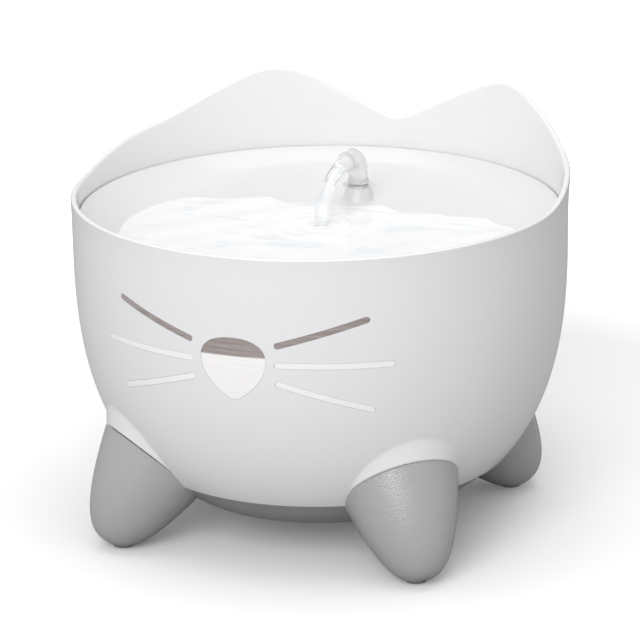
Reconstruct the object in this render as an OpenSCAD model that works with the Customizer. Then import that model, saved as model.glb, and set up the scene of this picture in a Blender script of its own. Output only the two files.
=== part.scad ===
// Pet water fountain with two ear points on the back of its rim.
// Millimetres, +Z up. The origin is on the floor, on the axis of the round body.
// The front, with the water-level windows, faces -Y. Azimuths are counted from the front.

/* [Body] */
// Widest outer radius of the round body
body_r = 120.2; // [117:0.1:124]
// Height of the widest point above the floor
widest_z = 145; // [143:0.5:149]
// Depth of the belly curve below the widest point
belly_depth = 142.5; // [139:0.5:146]
// Roundness of the belly curve, where 2 is an ellipse
belly_power = 2.7; // [2.6:0.05:2.85]
// Wall of the outer shell
shell_wall = 3; // [2.6:0.1:3.4]
// Height of the shell's lower edge
shell_bottom_z = 34.6; // [33:0.1:36]
// Height of the tank floor's upper face
tank_floor_z = 41; // [40.5:0.1:43]
// Thickness of the tank floor
tank_floor = 3; // [2.5:0.1:3.4]

/* [Rim and ears] */
// Height of the rim at the front
rim_z = 163.6; // [161:0.1:168]
// Height of the notch between the ears
notch_z = 171.1; // [168:0.1:176]
// Radius of the rounding at the bottom of the notch
notch_round = 5.9; // [3:0.1:12]
// Distance of each ear's apex from the centre plane
ear_apex_x = 63.4; // [56:0.1:70]
// Slope of each ear on the side of the notch
ear_inner_slope = 0.53; // [0.45:0.01:0.6]
// Slope of each ear on its outer side
ear_outer_slope = 0.555; // [0.5:0.01:0.65]
// Softness of the ear tips, twice what the rounding takes off
ear_soft = 12.4; // [6:0.1:18]
// Slope at which the rim climbs along the sides
side_slope = 0.21; // [0.19:0.01:0.24]
// Place along Y where the rim starts to climb
side_start_y = -8; // [-12:1:-4]
// Length over which the rim eases into its climb
side_ease = 14; // [8:1:20]
// Height where the wall starts to flare outward
flare_z = 152; // [150:1:158]
// Outward flare of the wall at the height of the ear tips
flare_out = 4.7; // [2:0.1:6]

/* [Windows] */
// Width of the nose window
nose_w = 31.8; // [26:0.1:34]
// Height of the widest line of the nose window
nose_wide_z = 114.5; // [111:0.1:117]
// Height of the nose above its widest line
nose_up = 10.8; // [8:0.1:12]
// Depth of the nose below its widest line
nose_down = 20; // [16:0.1:21]
// Width of each whisker window
whisker_w = 3.1; // [2.4:0.1:3.6]
// Azimuth of every whisker's inner end
whisker_inner_az = 10.3; // [9.5:0.1:12]
// Azimuth of the upper whisker's outer end
upper_outer_az = 29.9; // [26:0.1:31]
// Height of the upper whisker's inner end
upper_inner_z = 122.6; // [121:0.1:124]
// Height of the upper whisker's outer end
upper_outer_z = 134.6; // [130:0.1:135]
// Azimuth of the middle whisker's outer end
middle_outer_az = 35.6; // [30:0.1:36]
// Height of the middle whisker's inner end
middle_inner_z = 113.1; // [111:0.1:115]
// Height of the middle whisker's outer end
middle_outer_z = 112.4; // [110:0.1:115]
// Azimuth of the lower whisker's outer end
lower_outer_az = 31.1; // [28:0.1:33]
// Height of the lower whisker's inner end
lower_inner_z = 103.7; // [102:0.1:106]
// Height of the lower whisker's outer end
lower_outer_z = 90.3; // [89.5:0.1:94]
// Half the azimuth that the clear lens covers
lens_az = 40; // [39:0.5:43]
// Lower edge of the clear lens
lens_low_z = 84; // [82:0.5:86]
// Upper edge of the clear lens
lens_high_z = 141; // [139:0.5:142]
// Thickness of the clear lens
lens_t = 2; // [1.5:0.1:2.5]
// Thickness of the seal sheet between the lens and the shell
window_seal_t = 1; // [0.6:0.1:1.4]

/* [Base pan] */
// Step from the shell's outline in to the pan's outline
pan_step = 1.5; // [1:0.1:2]
// Height of the pan's underside above the floor
pan_bottom_z = 16.4; // [15:0.1:18]
// Wall of the base pan
pan_wall = 2.5; // [2:0.1:3]
// Width and height of the seal ring on the pan's tongue
base_seal_w = 1.5; // [1.2:0.1:1.8]
// Radius of the circle that the base screws stand on
base_screw_circle = 60; // [56:1:64]

/* [Legs] */
// Azimuth of the front legs
front_leg_az = 43; // [40:0.5:46]
// Step from the widest radius in to a front leg's tip
front_tip_in = 2.1; // [1.2:0.1:3]
// Azimuth of the rear legs
rear_leg_az = 124.5; // [122:0.5:128]
// Step from the widest radius in to a rear leg's tip
rear_tip_in = 14.4; // [13.4:0.1:15.4]
// Height of the tip of a leg's axis above the floor
leg_tip_z = 3.25; // [3:0.05:3.6]
// Lean of a leg's axis from the vertical
leg_lean = 35.4; // [34:0.1:37]
// Length of a leg along its axis, up to the split from the stub
leg_len = 45.6; // [44:0.1:47]
// Radius of a leg where it meets the stub
leg_top_r = 28.3; // [27.5:0.1:29]
// Bluntness of the leg, as the power that its radius follows
leg_power = 0.39; // [0.36:0.01:0.42]
// Lean of the split between a leg and its stub
split_lean = 43.5; // [42:0.1:45]
// Height of the stub's flared ring
stub_h = 9.5; // [8.5:0.1:10]
// Flare of the stub, as radius gained per height
stub_flare = 0.76; // [0.7:0.01:0.9]
// Diameter of a rubber foot pad
pad_d = 10; // [8:0.5:11]
// Height that a foot pad stands out of its leg
pad_proud = 1; // [0.8:0.1:1.4]
// Height of a foot pad
pad_h = 2.5; // [2:0.1:3]

/* [Dish] */
// Gap between the dish and the shell's inner wall
dish_gap = 0.5; // [0.4:0.1:1]
// Height of the dish's top edge
dish_top_z = 154.5; // [153.5:0.1:155.5]
// Width of the flat top edge of the dish
dish_lip = 1.6; // [1.4:0.1:2.4]
// Height of the dish's skirt
dish_skirt = 6; // [5:0.1:7]
// Wall of the dish
dish_wall = 2.4; // [2:0.1:2.8]
// Slope of the dish's side wall, as rise per run
dish_slope = 0.75; // [0.7:0.01:0.8]
// Height of the dish floor at the pedestal
dish_floor_z = 143.7; // [142.5:0.1:144.5]
// Tilt of the dish floor towards the front, in degrees
dish_tilt = 3.3; // [2.8:0.1:3.6]
// Radius of the overflow drain's mouth
drain_r = 10; // [8:0.5:12]
// Distance of the overflow drain in front of the axis
drain_y = 78; // [72:1:80]
// Depth of the overflow drain's rim below the pedestal's floor
drain_drop = 1.2; // [0.8:0.1:2]
// Width of the ledge that carries the dish
ledge_w = 3.5; // [3:0.1:4]
// Thickness of the ledge that carries the dish
ledge_h = 2.7; // [2.2:0.1:3.2]

/* [Spout] */
// Distance of the spout's upright behind the axis
spout_y = 56.5; // [54:0.5:58]
// Outer diameter of the clear spout tube
spout_d = 10; // [9:0.1:10.6]
// Bore of the clear spout tube
spout_bore = 7.4; // [6.6:0.1:7.6]
// Bend radius of the spout's arch
arch_r = 9.5; // [8:0.1:10]
// Length of the straight nozzle after the arch
nozzle_len = 8; // [6:0.5:12]
// Height of the arch's centre line at its top
arch_top_z = 166.4; // [165:0.1:170]
// Angle that the spout points to the left of straight ahead
spout_turn = 3; // [0:1:20]
// Outer diameter of the clear collar
collar_d = 15.6; // [15.4:0.1:16.4]
// Height of the top of the pedestal
pedestal_top_z = 150.3; // [149.5:0.1:151]
// Diameter of the pedestal at its top
pedestal_top_d = 12.6; // [12.4:0.1:13.4]
// Diameter of the pedestal at the dish floor
pedestal_foot_d = 14.4; // [14:0.1:16]
// Outer radius of the collar's spigot
spigot_r = 4.9; // [4.8:0.05:5]
// Wall of the collar's spigot
spigot_wall = 1.5; // [1.4:0.1:1.6]
// Length of the collar's spigot
spigot_len = 13; // [11:0.5:14]

/* [Pump] */
// Height of the suction feet under the pump
suction_h = 4; // [3.5:0.1:5]
// Width of the pump body
pump_w = 36; // [32:0.5:38]
// Height of the pump body
pump_h = 34; // [32:0.5:36]
// Length of the motor part of the pump body
motor_len = 21; // [19:0.5:22]
// Length of the volute part of the pump body
volute_len = 9.5; // [9:0.5:10]
// Thickness of the volute cover
cover_t = 2.5; // [2:0.1:3]
// Depth of the intake grille
grille_d = 6; // [5:0.5:7]
// Radius of the impeller
impeller_r = 11.5; // [10:0.5:12]
// Radius of the pump's ceramic shaft
pump_shaft_r = 1; // [0.8:0.05:1.2]
// Radius of the rotor magnet
magnet_r = 6.5; // [6:0.1:7]
// Radius of the pump's outlet stub
outlet_r = 5.8; // [5.4:0.1:6]
// Bore radius of the pump's outlet stub
outlet_bore_r = 4.2; // [4:0.1:4.4]
// Outer radius of the riser tube
riser_r = 7.5; // [7.4:0.05:7.8]
// Height of the riser tube's upper end
riser_top_z = 124; // [121:0.5:126]

/* [Filter] */
// Outer radius of the pump housing
housing_r = 35; // [34:0.1:35.5]
// Wall of the pump housing
housing_wall = 2; // [1.6:0.1:2.2]
// Height of the deck that carries the filter
deck_z = 92; // [90:0.5:93]
// Height of the filter cartridge
filter_h = 15; // [13:0.5:16]

/* [Power] */
// Height of the power socket's centre line
socket_z = 26; // [25.6:0.1:26.4]
// Width of the recess around the power socket
recess_w = 13.4; // [13:0.1:14.4]
// Height of the recess around the power socket
recess_h = 7.4; // [7.2:0.1:7.8]
// Diameter of the pump's lead
lead_d = 3.6; // [3.2:0.1:4]

/* [Hidden] */
$fn = 72;
eps = 0.01;

// Clearances
fit = 0.3;
running = 0.08;
snug = 0.1;
face_gap = 0.05;

// Rim outline, seen from the front and from the side
function soft_min(a, b, s) = (a + b - sqrt(pow(a - b, 2) + s * s)) / 2;
ear_base_z = notch_z - ear_inner_slope * notch_round;
ear_apex_z = ear_base_z + ear_inner_slope * sqrt(pow(ear_apex_x, 2) + pow(notch_round, 2));
function rim_from_front(x) = soft_min(
    ear_base_z + ear_inner_slope * sqrt(x * x + pow(notch_round, 2)),
    ear_apex_z + ear_outer_slope * (ear_apex_x - abs(x)), ear_soft);
function rim_from_side(y) =
    rim_z + side_slope * (y - side_start_y + sqrt(pow(y - side_start_y, 2) + side_ease * side_ease)) / 2;
// Body outline
profile_step = 5;
flare_step = 10;
ear_tip_z = rim_from_front(ear_apex_x);
top_z = ear_tip_z + 4.6;
function belly_point(a, inset) = [
    widest_z - (belly_depth - inset) * pow(sin(a), 2 / belly_power),
    (body_r - inset) * pow(cos(a), 2 / belly_power)];
function flare_point(z, inset) =
    [z, body_r - inset + flare_out * pow((z - flare_z) / (ear_tip_z - flare_z), 2)];
function profile(inset) = concat(
    [for (a = [80:-profile_step:0]) belly_point(a, inset)],
    [for (z = [flare_z:flare_step:top_z + flare_step]) flare_point(z, inset)]);
function shell_r(z, inset = 0) = lookup(z, profile(inset));
function outline(z0, z1, inset) = concat([[shell_r(z0, inset), z0]],
    [for (p = profile(inset)) if (p[0] > z0 + eps && p[0] < z1 - eps) [p[1], p[0]]],
    [[shell_r(z1, inset), z1]]);
function reversed(list) = [for (i = [len(list) - 1:-1:0]) list[i]];

// Cutters for the rim
rim_span = body_r + 40;
ear_reach = body_r + 5;
front_step = 5;
side_step = 10;
ear_start_y = 50;
side_end_y = 62;

// Ledge and dish
ledge_top_z = dish_top_z - dish_skirt - fit;
ledge_r = shell_r(ledge_top_z, shell_wall) - ledge_w;
dish_r = body_r - shell_wall - dish_gap;
dish_mouth_r = dish_r - dish_lip;
dish_wall_run = dish_wall * sqrt(1 + 1 / pow(dish_slope, 2));
dish_low_z = 125;
water_rim_z = dish_floor_z - drain_drop;
socket_r = riser_r + 1.1;
socket_wall = 1.8;
socket_bottom_z = deck_z + filter_h + 5;
seal_z = socket_bottom_z + 5;
riser_seal_t = 0.65;
pedestal_bore_r = spigot_r + running;
collar_floor = 1.2;
collar_rim = 1.9;
collar_cup_wall = 1;
collar_bottom_z = pedestal_top_z + face_gap;
collar_cup_z = collar_bottom_z + collar_floor;
collar_cup_r = spout_d / 2 + running;
ring_t = 0.45;
ring_r = spigot_r - ring_t + 0.02;
ring_z = collar_bottom_z - spigot_len / 2;

// Windows
window_gap = 0.15;
window_depth = 0.2;
end_facets = 6;
seal_border = 4;
seal_border_az = 2;
seal_inset = shell_wall + face_gap;
lens_inset = seal_inset + window_seal_t + face_gap;
cutter_depth = 24;
nose_steps = 10;

// Base pan
pan_top_z = shell_bottom_z - fit;
floor_under_z = tank_floor_z - tank_floor;
tongue_t = 2.2;
tongue_r = shell_r(shell_bottom_z, shell_wall) - fit;
tongue_top_z = floor_under_z - base_seal_w - snug;
pan_floor_z = pan_bottom_z + pan_wall;
screw_pad_h = 2;
boss_bottom_z = pan_floor_z + screw_pad_h + fit;
boss_r = 4;

// Screws
screw_r = 1.5;
screw_hole_r = 1.6;
head_r = 2.8;
head_h = 2;
head_recess_r = 3.1;
head_recess_h = 2.4;
base_screw_len = 16;
small_screw_r = 1;
small_screw_len = 4.5;
small_head_r = 2;
small_head_h = 1.3;
leg_screw_z = 27;
leg_screw_offset = 9;
leg_boss_len = 5.9;
leg_screw_len = 24;
leg_boss_r = 4.5;
leg_screw_seat_r = shell_r(leg_screw_z, pan_step + pan_wall) - leg_boss_len;

// Legs: azimuth and tip radius of each
leg_front_spec = [front_leg_az, body_r - front_tip_in];
leg_rear_spec = [rear_leg_az, body_r - rear_tip_in];
leg_specs = [for (spec = [leg_front_spec, leg_rear_spec]) for (side = [-1, 1]) [side * spec[0], spec[1]]];
leg_steps = 12;
leg_extra = 8;
stub_shift = 1.1;
split_gap = 0.3;
contact_gap = 0.2;
pad_inset = 8.7;
function leg_r(t) = leg_top_r * pow(t / leg_len, leg_power);

// Pump, with its shaft along Y and its outlet under the spout
pump_z = tank_floor_z + suction_h + face_gap;
shaft_z = pump_z + pump_h / 2;
volute_y = spout_y - volute_len / 2;
motor_y = volute_y - motor_len;
cover_y = volute_y + volute_len;
cover_drop = 1.2;
chamber_r = impeller_r + 1.2;
chamber_depth = 7.5;
chamber_y = cover_y - chamber_depth;
magnet_len = 14;
well_r = magnet_r + 0.8;
well_y = chamber_y - magnet_len - 1.2;
magnet_y = well_y + 0.8;
impeller_y = magnet_y + magnet_len + face_gap;
disc_offset = 1;
shaft_start_y = well_y - 2;
shaft_end_y = cover_y + cover_t - 0.8;
bush_r = 2.4;
bush_t = 1.5;
outlet_base_z = pump_z + pump_h - 1;
outlet_top_z = pump_z + pump_h + 9;
riser_bottom_z = pump_z + pump_h + face_gap;
core_y = motor_y + 4;
core_t = 10;
core_w = 26;
core_limb = 3.4;
core_low_z = pump_z + 3;
core_high_z = shaft_z + 11;
coil_w = 14;
coil_wall = 1.6;
screw_corner = 4;
cover_screw_len = 8;
grille_w = 24;
grille_wall = 1.5;
grille_slot = 2;
blade_t = 1;
blade_h = 3.6;
disc_t = 1.2;
impeller_hub_r = 2.6;

// Pump lead, a route chosen by hand: board, gland, pump
gland_inset = 9;
gland_x = housing_r - gland_inset;
gland_y = 50;
gland_r = 4;
gland_flange_r = 5.6;
gland_flange_t = 1.4;
board_z = 22.6;
board_t = 1.6;
board_screw_x = 3;
board_screw_y = 4;
board_post_r = 2.6;
chip_w = 7;
chip_h = 1.2;
capacitor_r = 2.5;
capacitor_h = 6;
connector_x = 8.5;
connector_w = 5.4;
connector_h = 5;
lead_sides = 8;
lead_side = [0.2, 1, 0.1];
lead_route = [[14.2, 57.5, 27.8], [16.6, 57.2, 27.8], [19.6, 55.6, 28.2], [22.8, 53.2, 29.5], [25.2, 51, 31.7],
    [26, 50, 34.5], [26, 50, 38], [26, 50, 42], [26, 50, 46], [25.9, 49.5, 50], [25.4, 48, 54],
    [24.4, 46.2, 57.6], [22.8, 44.8, 60.4], [20.8, 44.2, 61.7], [18.2, 44, 62]];

// Power socket
socket_w = 8.94;
socket_h = 3.26;
socket_len = 7.4;
socket_recess = 3.3;
socket_face_y = shell_r(socket_z, pan_step) - socket_recess;
socket_shell_t = 0.3;
board_w = 34;
board_len = 28;
board_y = socket_face_y - 2.6 - board_len;
block_w = 22;
block_y = socket_face_y - 8.6;

// Filter
hub_r = riser_r + 0.8;
filter_outer_r = housing_r - housing_wall - 0.5;
filter_inner_r = hub_r + 0.7;
frame_t = 1.2;
cup_top_z = deck_z + filter_h + 1;
foam_h = 4;

// A solid of revolution of the body's outline
module body_solid(z0, z1, inset) {
    rotate_extrude() polygon(concat([[0, z0]], outline(z0, z1, inset), [[0, z1]]));
}

// A band of the body's wall between two insets, centred on the front
module front_band(inset_a, inset_b, z0, z1, half_az) {
    rotate([0, 0, -90 - half_az]) rotate_extrude(angle = 2 * half_az)
        polygon(concat(outline(z0, z1, inset_a), reversed(outline(z0, z1, inset_b))));
}

// A frame whose X runs out along an azimuth counted from the front
module at_azimuth(az) {
    rotate([0, 0, az - 90]) children();
}

// Everything above the rim and the ears
module above_rim() {
    translate([0, rim_span, 0]) rotate([90, 0, 0]) linear_extrude(height = rim_span - ear_start_y)
        polygon(concat([[-rim_span, rim_from_front(ear_reach)]],
            [for (x = [-ear_reach:front_step:ear_reach]) [x, rim_from_front(x)]],
            [[rim_span, rim_from_front(ear_reach)], [rim_span, top_z + 50], [-rim_span, top_z + 50]]));
    rotate([90, 0, 90]) linear_extrude(height = 2 * rim_span, center = true)
        polygon(concat([[-rim_span, rim_z]],
            [for (y = [side_end_y - 12 * side_step:side_step:side_end_y]) [y, rim_from_side(y)]],
            [[side_end_y, top_z + 50], [-rim_span, top_z + 50]]));
}

// Flat bar with round ends
module bar(from, to, w) {
    a = atan2(to[1] - from[1], to[0] - from[0]);
    polygon(concat(
        [for (i = [0:end_facets]) let (t = a - 90 + 180 * i / end_facets) to + w / 2 * [cos(t), sin(t)]],
        [for (i = [0:end_facets]) let (t = a + 90 + 180 * i / end_facets) from + w / 2 * [cos(t), sin(t)]]));
}

// Cutter for one whisker, square to the wall at its middle
module whisker(side, outer_az, inner_z, outer_z, w) {
    mid_az = (whisker_inner_az + outer_az) / 2;
    r = shell_r((inner_z + outer_z) / 2);
    half = r * sin((outer_az - whisker_inner_az) / 2);
    at_azimuth(side * mid_az) translate([r - cutter_depth / 2, 0, 0]) rotate([90, 0, 90])
        linear_extrude(height = cutter_depth) bar([-side * half, inner_z], [side * half, outer_z], w);
}

// Outline of the nose, a round top over a blunt tip
module nose_outline(grow) {
    half = nose_w / 2 + grow;
    translate([0, nose_wide_z]) polygon(concat(
        [for (a = [0:15:180]) let (c = cos(a))
            [half * c, (nose_up + grow) * pow(max(0, 1 - pow(abs(c), 2.3)), 1 / 2.3)]],
        [for (i = [1:2 * nose_steps - 1]) let (t = i / nose_steps - 1)
            [half * t * (2 - abs(t)), -(nose_down + grow) * (1 - abs(t))]]));
}

// Cutters for all seven windows, each grown all round
module window_cutters(grow) {
    w = whisker_w + 2 * grow;
    for (side = [-1, 1]) {
        whisker(side, upper_outer_az, upper_inner_z, upper_outer_z, w);
        whisker(side, middle_outer_az, middle_inner_z, middle_outer_z, w);
        whisker(side, lower_outer_az, lower_inner_z, lower_outer_z, w);
    }
    translate([0, cutter_depth / 2 - shell_r(nose_wide_z), 0]) rotate([90, 0, 0])
        linear_extrude(height = cutter_depth) nose_outline(grow);
}

// A frame on the split between a leg and its stub, +Z up along the stub
module at_split(spec) {
    at_azimuth(spec[0]) translate([spec[1], 0, leg_tip_z]) rotate([0, -leg_lean, 0])
        translate([0, 0, leg_len]) rotate([0, leg_lean - split_lean, 0]) children();
}

// A frame on a screw from inside the pan out into a leg
module at_leg_screws() {
    for (spec = leg_specs) for (side = [-1, 1])
        at_azimuth(spec[0]) translate([leg_screw_seat_r, side * leg_screw_offset, leg_screw_z])
            rotate([0, 90, 0]) children();
}

// The places of the base screws
module at_base_screws() {
    for (az = [45:90:315]) at_azimuth(az) translate([base_screw_circle, 0, 0]) children();
}

// A pan-head screw with its head's seat at z = 0 and its shank up +Z
module screw(len) {
    cylinder(r = screw_r, h = len);
    difference() {
        translate([0, 0, -head_h]) cylinder(r = head_r, h = head_h);
        for (a = [0, 90]) rotate([0, 0, a]) translate([-1.6, -0.4, -head_h - eps]) cube([3.2, 0.8, 1.1]);
    }
}

// Half space above the dish floor, moved down by drop
module above_dish_floor(drop) {
    translate([0, spout_y, dish_floor_z - drop]) rotate([dish_tilt, 0, 0])
        translate([-150, -220, 0]) cube([300, 340, 60]);
}

// A closed tube along a route of points
function unit(v) = v / norm(v);
function lead_ring(route, i, r, sides) = let (
    last = len(route) - 1,
    t = unit(route[min(i + 1, last)] - route[max(i - 1, 0)]),
    u = unit(cross(t, lead_side)),
    v = cross(t, u))
    [for (k = [0:sides - 1]) route[i] + r * (cos(360 * k / sides) * u + sin(360 * k / sides) * v)];
module tube_along(route, d, sides) {
    last = len(route) - 1;
    polyhedron(
        points = [for (i = [0:last]) each lead_ring(route, i, d / 2, sides)],
        faces = concat(
            [[for (k = [0:sides - 1]) k]],
            [[for (k = [sides - 1:-1:0]) last * sides + k]],
            [for (i = [0:last - 1]) for (k = [0:sides - 1]) let (n = (k + 1) % sides)
                [i * sides + k, (i + 1) * sides + k, (i + 1) * sides + n, i * sides + n]]));
}

module outer_shell() color("whitesmoke") difference() {
    union() {
        body_solid(shell_bottom_z, top_z, 0);
        for (spec = leg_specs) at_split(spec) translate([stub_shift, 0, 0])
            cylinder(r1 = leg_top_r, r2 = leg_top_r + stub_flare * stub_h, h = stub_h);
        at_base_screws() translate([0, 0, boss_bottom_z]) cylinder(r = boss_r, h = floor_under_z - boss_bottom_z + 1);
    }
    difference() {
        body_solid(tank_floor_z, top_z + 1, shell_wall);
        translate([0, 0, ledge_top_z - ledge_h]) difference() {
            cylinder(r = body_r, h = ledge_h);
            translate([0, 0, -eps]) cylinder(r = ledge_r, h = ledge_h + 2 * eps);
        }
    }
    difference() {
        union() {
            body_solid(shell_bottom_z - eps, floor_under_z, shell_wall);
            body_solid(pan_bottom_z - 6, shell_bottom_z, pan_step - contact_gap);
        }
        at_base_screws() translate([0, 0, boss_bottom_z]) cylinder(r = boss_r, h = 30);
    }
    at_base_screws() translate([0, 0, boss_bottom_z - eps]) cylinder(r = screw_hole_r, h = 15);
    above_rim();
    window_cutters(0);
    translate([gland_x, gland_y, floor_under_z - 1]) cylinder(r = gland_r + snug, h = tank_floor + 2);
}

module face_window() color([0.85, 0.82, 0.82, 0.5]) {
    front_band(lens_inset, lens_inset + lens_t, lens_low_z, lens_high_z, lens_az);
    intersection() {
        front_band(window_depth, lens_inset + 0.5, lens_low_z, lens_high_z, lens_az);
        window_cutters(-window_gap);
    }
}

module window_seal() color("gainsboro") difference() {
    front_band(seal_inset, seal_inset + window_seal_t, lens_low_z, lens_high_z, lens_az);
    front_band(seal_inset - 1, seal_inset + window_seal_t + 1,
        lens_low_z + seal_border, lens_high_z - seal_border, lens_az - seal_border_az);
}

module base_pan() color("dimgray") difference() {
    union() {
        difference() {
            union() {
                body_solid(pan_bottom_z, pan_top_z, pan_step);
                translate([0, 0, pan_top_z - 2]) cylinder(r = tongue_r, h = tongue_top_z - pan_top_z + 2);
            }
            cylinder(r = 200, h = pan_bottom_z);
            body_solid(pan_floor_z, pan_top_z - pan_wall, pan_step + pan_wall);
            translate([0, 0, pan_floor_z]) cylinder(r = shell_r(pan_floor_z, pan_step + pan_wall), h = 40);
            translate([0, 0, pan_top_z - pan_wall - eps]) cylinder(r = tongue_r - tongue_t, h = 20);
        }
        at_base_screws() translate([0, 0, pan_floor_z - eps]) cylinder(r = 6, h = screw_pad_h);
        intersection() {
            union() {
                at_leg_screws() cylinder(r = leg_boss_r, h = 12);
                translate([-block_w / 2, block_y, pan_floor_z - eps])
                    cube([block_w, 20, socket_z + recess_h / 2 + 2 - pan_floor_z]);
            }
            body_solid(pan_bottom_z, pan_top_z, pan_step + 1);
        }
        at_board_screws(pan_floor_z - eps) cylinder(r = board_post_r, h = board_z - pan_floor_z);
    }
    at_base_screws() {
        translate([0, 0, pan_bottom_z - eps]) cylinder(r = head_recess_r, h = head_recess_h);
        translate([0, 0, pan_bottom_z - eps]) cylinder(r = screw_hole_r, h = 10);
    }
    at_leg_screws() translate([0, 0, -1]) cylinder(r = screw_hole_r, h = 30);
    at_board_screws(pan_floor_z) cylinder(r = small_screw_r + snug, h = board_z);
    translate([-recess_w / 2, socket_face_y, socket_z - recess_h / 2]) cube([recess_w, 20, recess_h]);
    translate([-socket_w / 2 - snug, block_y - 1, socket_z - socket_h / 2 - snug])
        cube([socket_w + 2 * snug, 12, socket_h + 2 * snug]);
    translate([-board_w / 2 - fit, block_y - 1, board_z - snug])
        cube([board_w + 2 * fit, socket_face_y - 2.6 - block_y + 1 + fit, board_t + 2 * snug]);
}

module base_seal() color("dimgray") translate([0, 0, tongue_top_z + face_gap]) difference() {
    cylinder(r = tongue_r, h = base_seal_w);
    translate([0, 0, -1]) cylinder(r = tongue_r - base_seal_w, h = 5);
}

module base_screws() color("silver") at_base_screws()
    translate([0, 0, pan_bottom_z + head_recess_h - face_gap]) screw(base_screw_len);

module leg(spec) color("darkgray") difference() {
    intersection() {
        at_azimuth(spec[0]) translate([spec[1], 0, leg_tip_z]) rotate([0, -leg_lean, 0])
            rotate_extrude() polygon(concat([[0, leg_len + leg_extra]],
                [for (i = [0:leg_steps]) let (t = (leg_len + leg_extra) * pow(i / leg_steps, 2)) [leg_r(t), t]]));
        at_split(spec) translate([0, 0, -split_gap - 80]) cylinder(r = 60, h = 80);
        translate([-200, -200, pad_proud]) cube([400, 400, 100]);
    }
    rotate_extrude() polygon(concat([[0, pan_bottom_z - 6]],
        outline(pan_bottom_z - 6, pan_top_z, pan_step - contact_gap),
        outline(pan_top_z + eps, 80, -contact_gap), [[0, 80]]));
    at_azimuth(spec[0]) {
        translate([spec[1] - pad_inset, 0, -eps]) cylinder(d = pad_d + 2 * snug, h = pad_h + snug);
        for (side = [-1, 1]) translate([leg_screw_seat_r, side * leg_screw_offset, leg_screw_z])
            rotate([0, 90, 0]) cylinder(r = screw_hole_r, h = leg_screw_len + 1);
    }
}

module leg_screws() color("silver") at_leg_screws()
    translate([0, 0, -face_gap]) screw(leg_screw_len);

module foot_pads() color([0.25, 0.25, 0.26]) for (spec = leg_specs)
    at_azimuth(spec[0]) translate([spec[1] - pad_inset, 0, 0]) cylinder(d = pad_d, h = pad_h);

module power_socket() color("silver") translate([0, socket_face_y - socket_len - 0.4, socket_z]) rotate([-90, 0, 0])
    difference() {
        linear_extrude(height = socket_len)
            bar([-(socket_w - socket_h) / 2, 0], [(socket_w - socket_h) / 2, 0], socket_h);
        translate([0, 0, 1]) linear_extrude(height = socket_len)
            bar([-(socket_w - socket_h) / 2, 0], [(socket_w - socket_h) / 2, 0], socket_h - 2 * socket_shell_t);
    }

module socket_tongue() color([0.15, 0.15, 0.16])
    translate([-3.3, socket_face_y - socket_len + 0.65, socket_z - 0.35]) cube([6.6, 5.4, 0.7]);

module control_board() color("seagreen") difference() {
    union() {
        translate([-board_w / 2, board_y, board_z + face_gap]) cube([board_w, board_len, board_t - face_gap]);
        translate([-chip_w - 2, board_y + chip_w, board_z + board_t - eps]) cube([chip_w, chip_w, chip_h]);
        translate([1, board_y + board_screw_y, board_z + board_t - eps]) cylinder(r = capacitor_r, h = capacitor_h);
        translate([connector_x, board_y + chip_w, board_z + board_t - eps]) cube([connector_w, connector_w, connector_h]);
    }
    at_board_screws(board_z - 1) cylinder(r = small_screw_r + fit, h = board_t + 3);
}

// The places of the board screws
module at_board_screws(z) {
    for (x = [-1, 1]) translate([x * (board_w / 2 - board_screw_x), board_y + board_screw_y, z]) children();
}

module board_screws() color("silver") at_board_screws(board_z + board_t + face_gap) {
    translate([0, 0, -small_screw_len]) cylinder(r = small_screw_r, h = small_screw_len);
    cylinder(r = small_head_r, h = small_head_h);
}

module lead_gland() color([0.2, 0.2, 0.21]) translate([gland_x, gland_y, 0]) difference() {
    union() {
        translate([0, 0, floor_under_z - gland_flange_t - face_gap])
            cylinder(r = gland_r, h = tank_floor + 2 * gland_flange_t + 2 * face_gap);
        translate([0, 0, tank_floor_z + face_gap]) cylinder(r = gland_flange_r, h = gland_flange_t);
        translate([0, 0, floor_under_z - face_gap - gland_flange_t]) cylinder(r = gland_flange_r, h = gland_flange_t);
    }
    cylinder(r = lead_d / 2 + face_gap, h = 60);
}

module pump_lead() color([0.12, 0.12, 0.13]) tube_along(lead_route, lead_d, lead_sides);

module suction_feet() color([0.2, 0.2, 0.21]) for (x = [-1, 1]) for (y = [motor_y + 6, cover_y - 6])
    translate([x * (pump_w / 2 - 6), y, tank_floor_z + face_gap / 2]) cylinder(r1 = 4.6, r2 = 2.4, h = suction_h);

module pump_block(inset) {
    translate([-pump_w / 2 + inset, motor_y + inset, pump_z + inset])
        cube([pump_w - 2 * inset, motor_len + volute_len - 2 * inset, pump_h - 2 * inset]);
}

module pump_body() color([0.16, 0.16, 0.17]) difference() {
    union() {
        pump_block(0);
        translate([0, spout_y, outlet_base_z]) cylinder(r = outlet_r, h = outlet_top_z - outlet_base_z);
    }
    translate([0, chamber_y, shaft_z]) rotate([-90, 0, 0]) cylinder(r = chamber_r, h = 20);
    translate([0, well_y, shaft_z]) rotate([-90, 0, 0]) cylinder(r = well_r, h = 30);
    translate([0, shaft_start_y, shaft_z]) rotate([-90, 0, 0]) cylinder(r = bush_r + snug, h = 5);
    translate([0, spout_y, shaft_z]) cylinder(r = outlet_bore_r, h = 60);
    core_shape(snug);
    coil_block(snug);
    for (x = [-1, 1]) for (z = [-1, 1])
        translate([x * (pump_w / 2 - screw_corner), cover_y - 7, shaft_z + z * (pump_h / 2 - screw_corner)])
            rotate([-90, 0, 0]) cylinder(r = small_screw_r + snug, h = 20);
}

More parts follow.
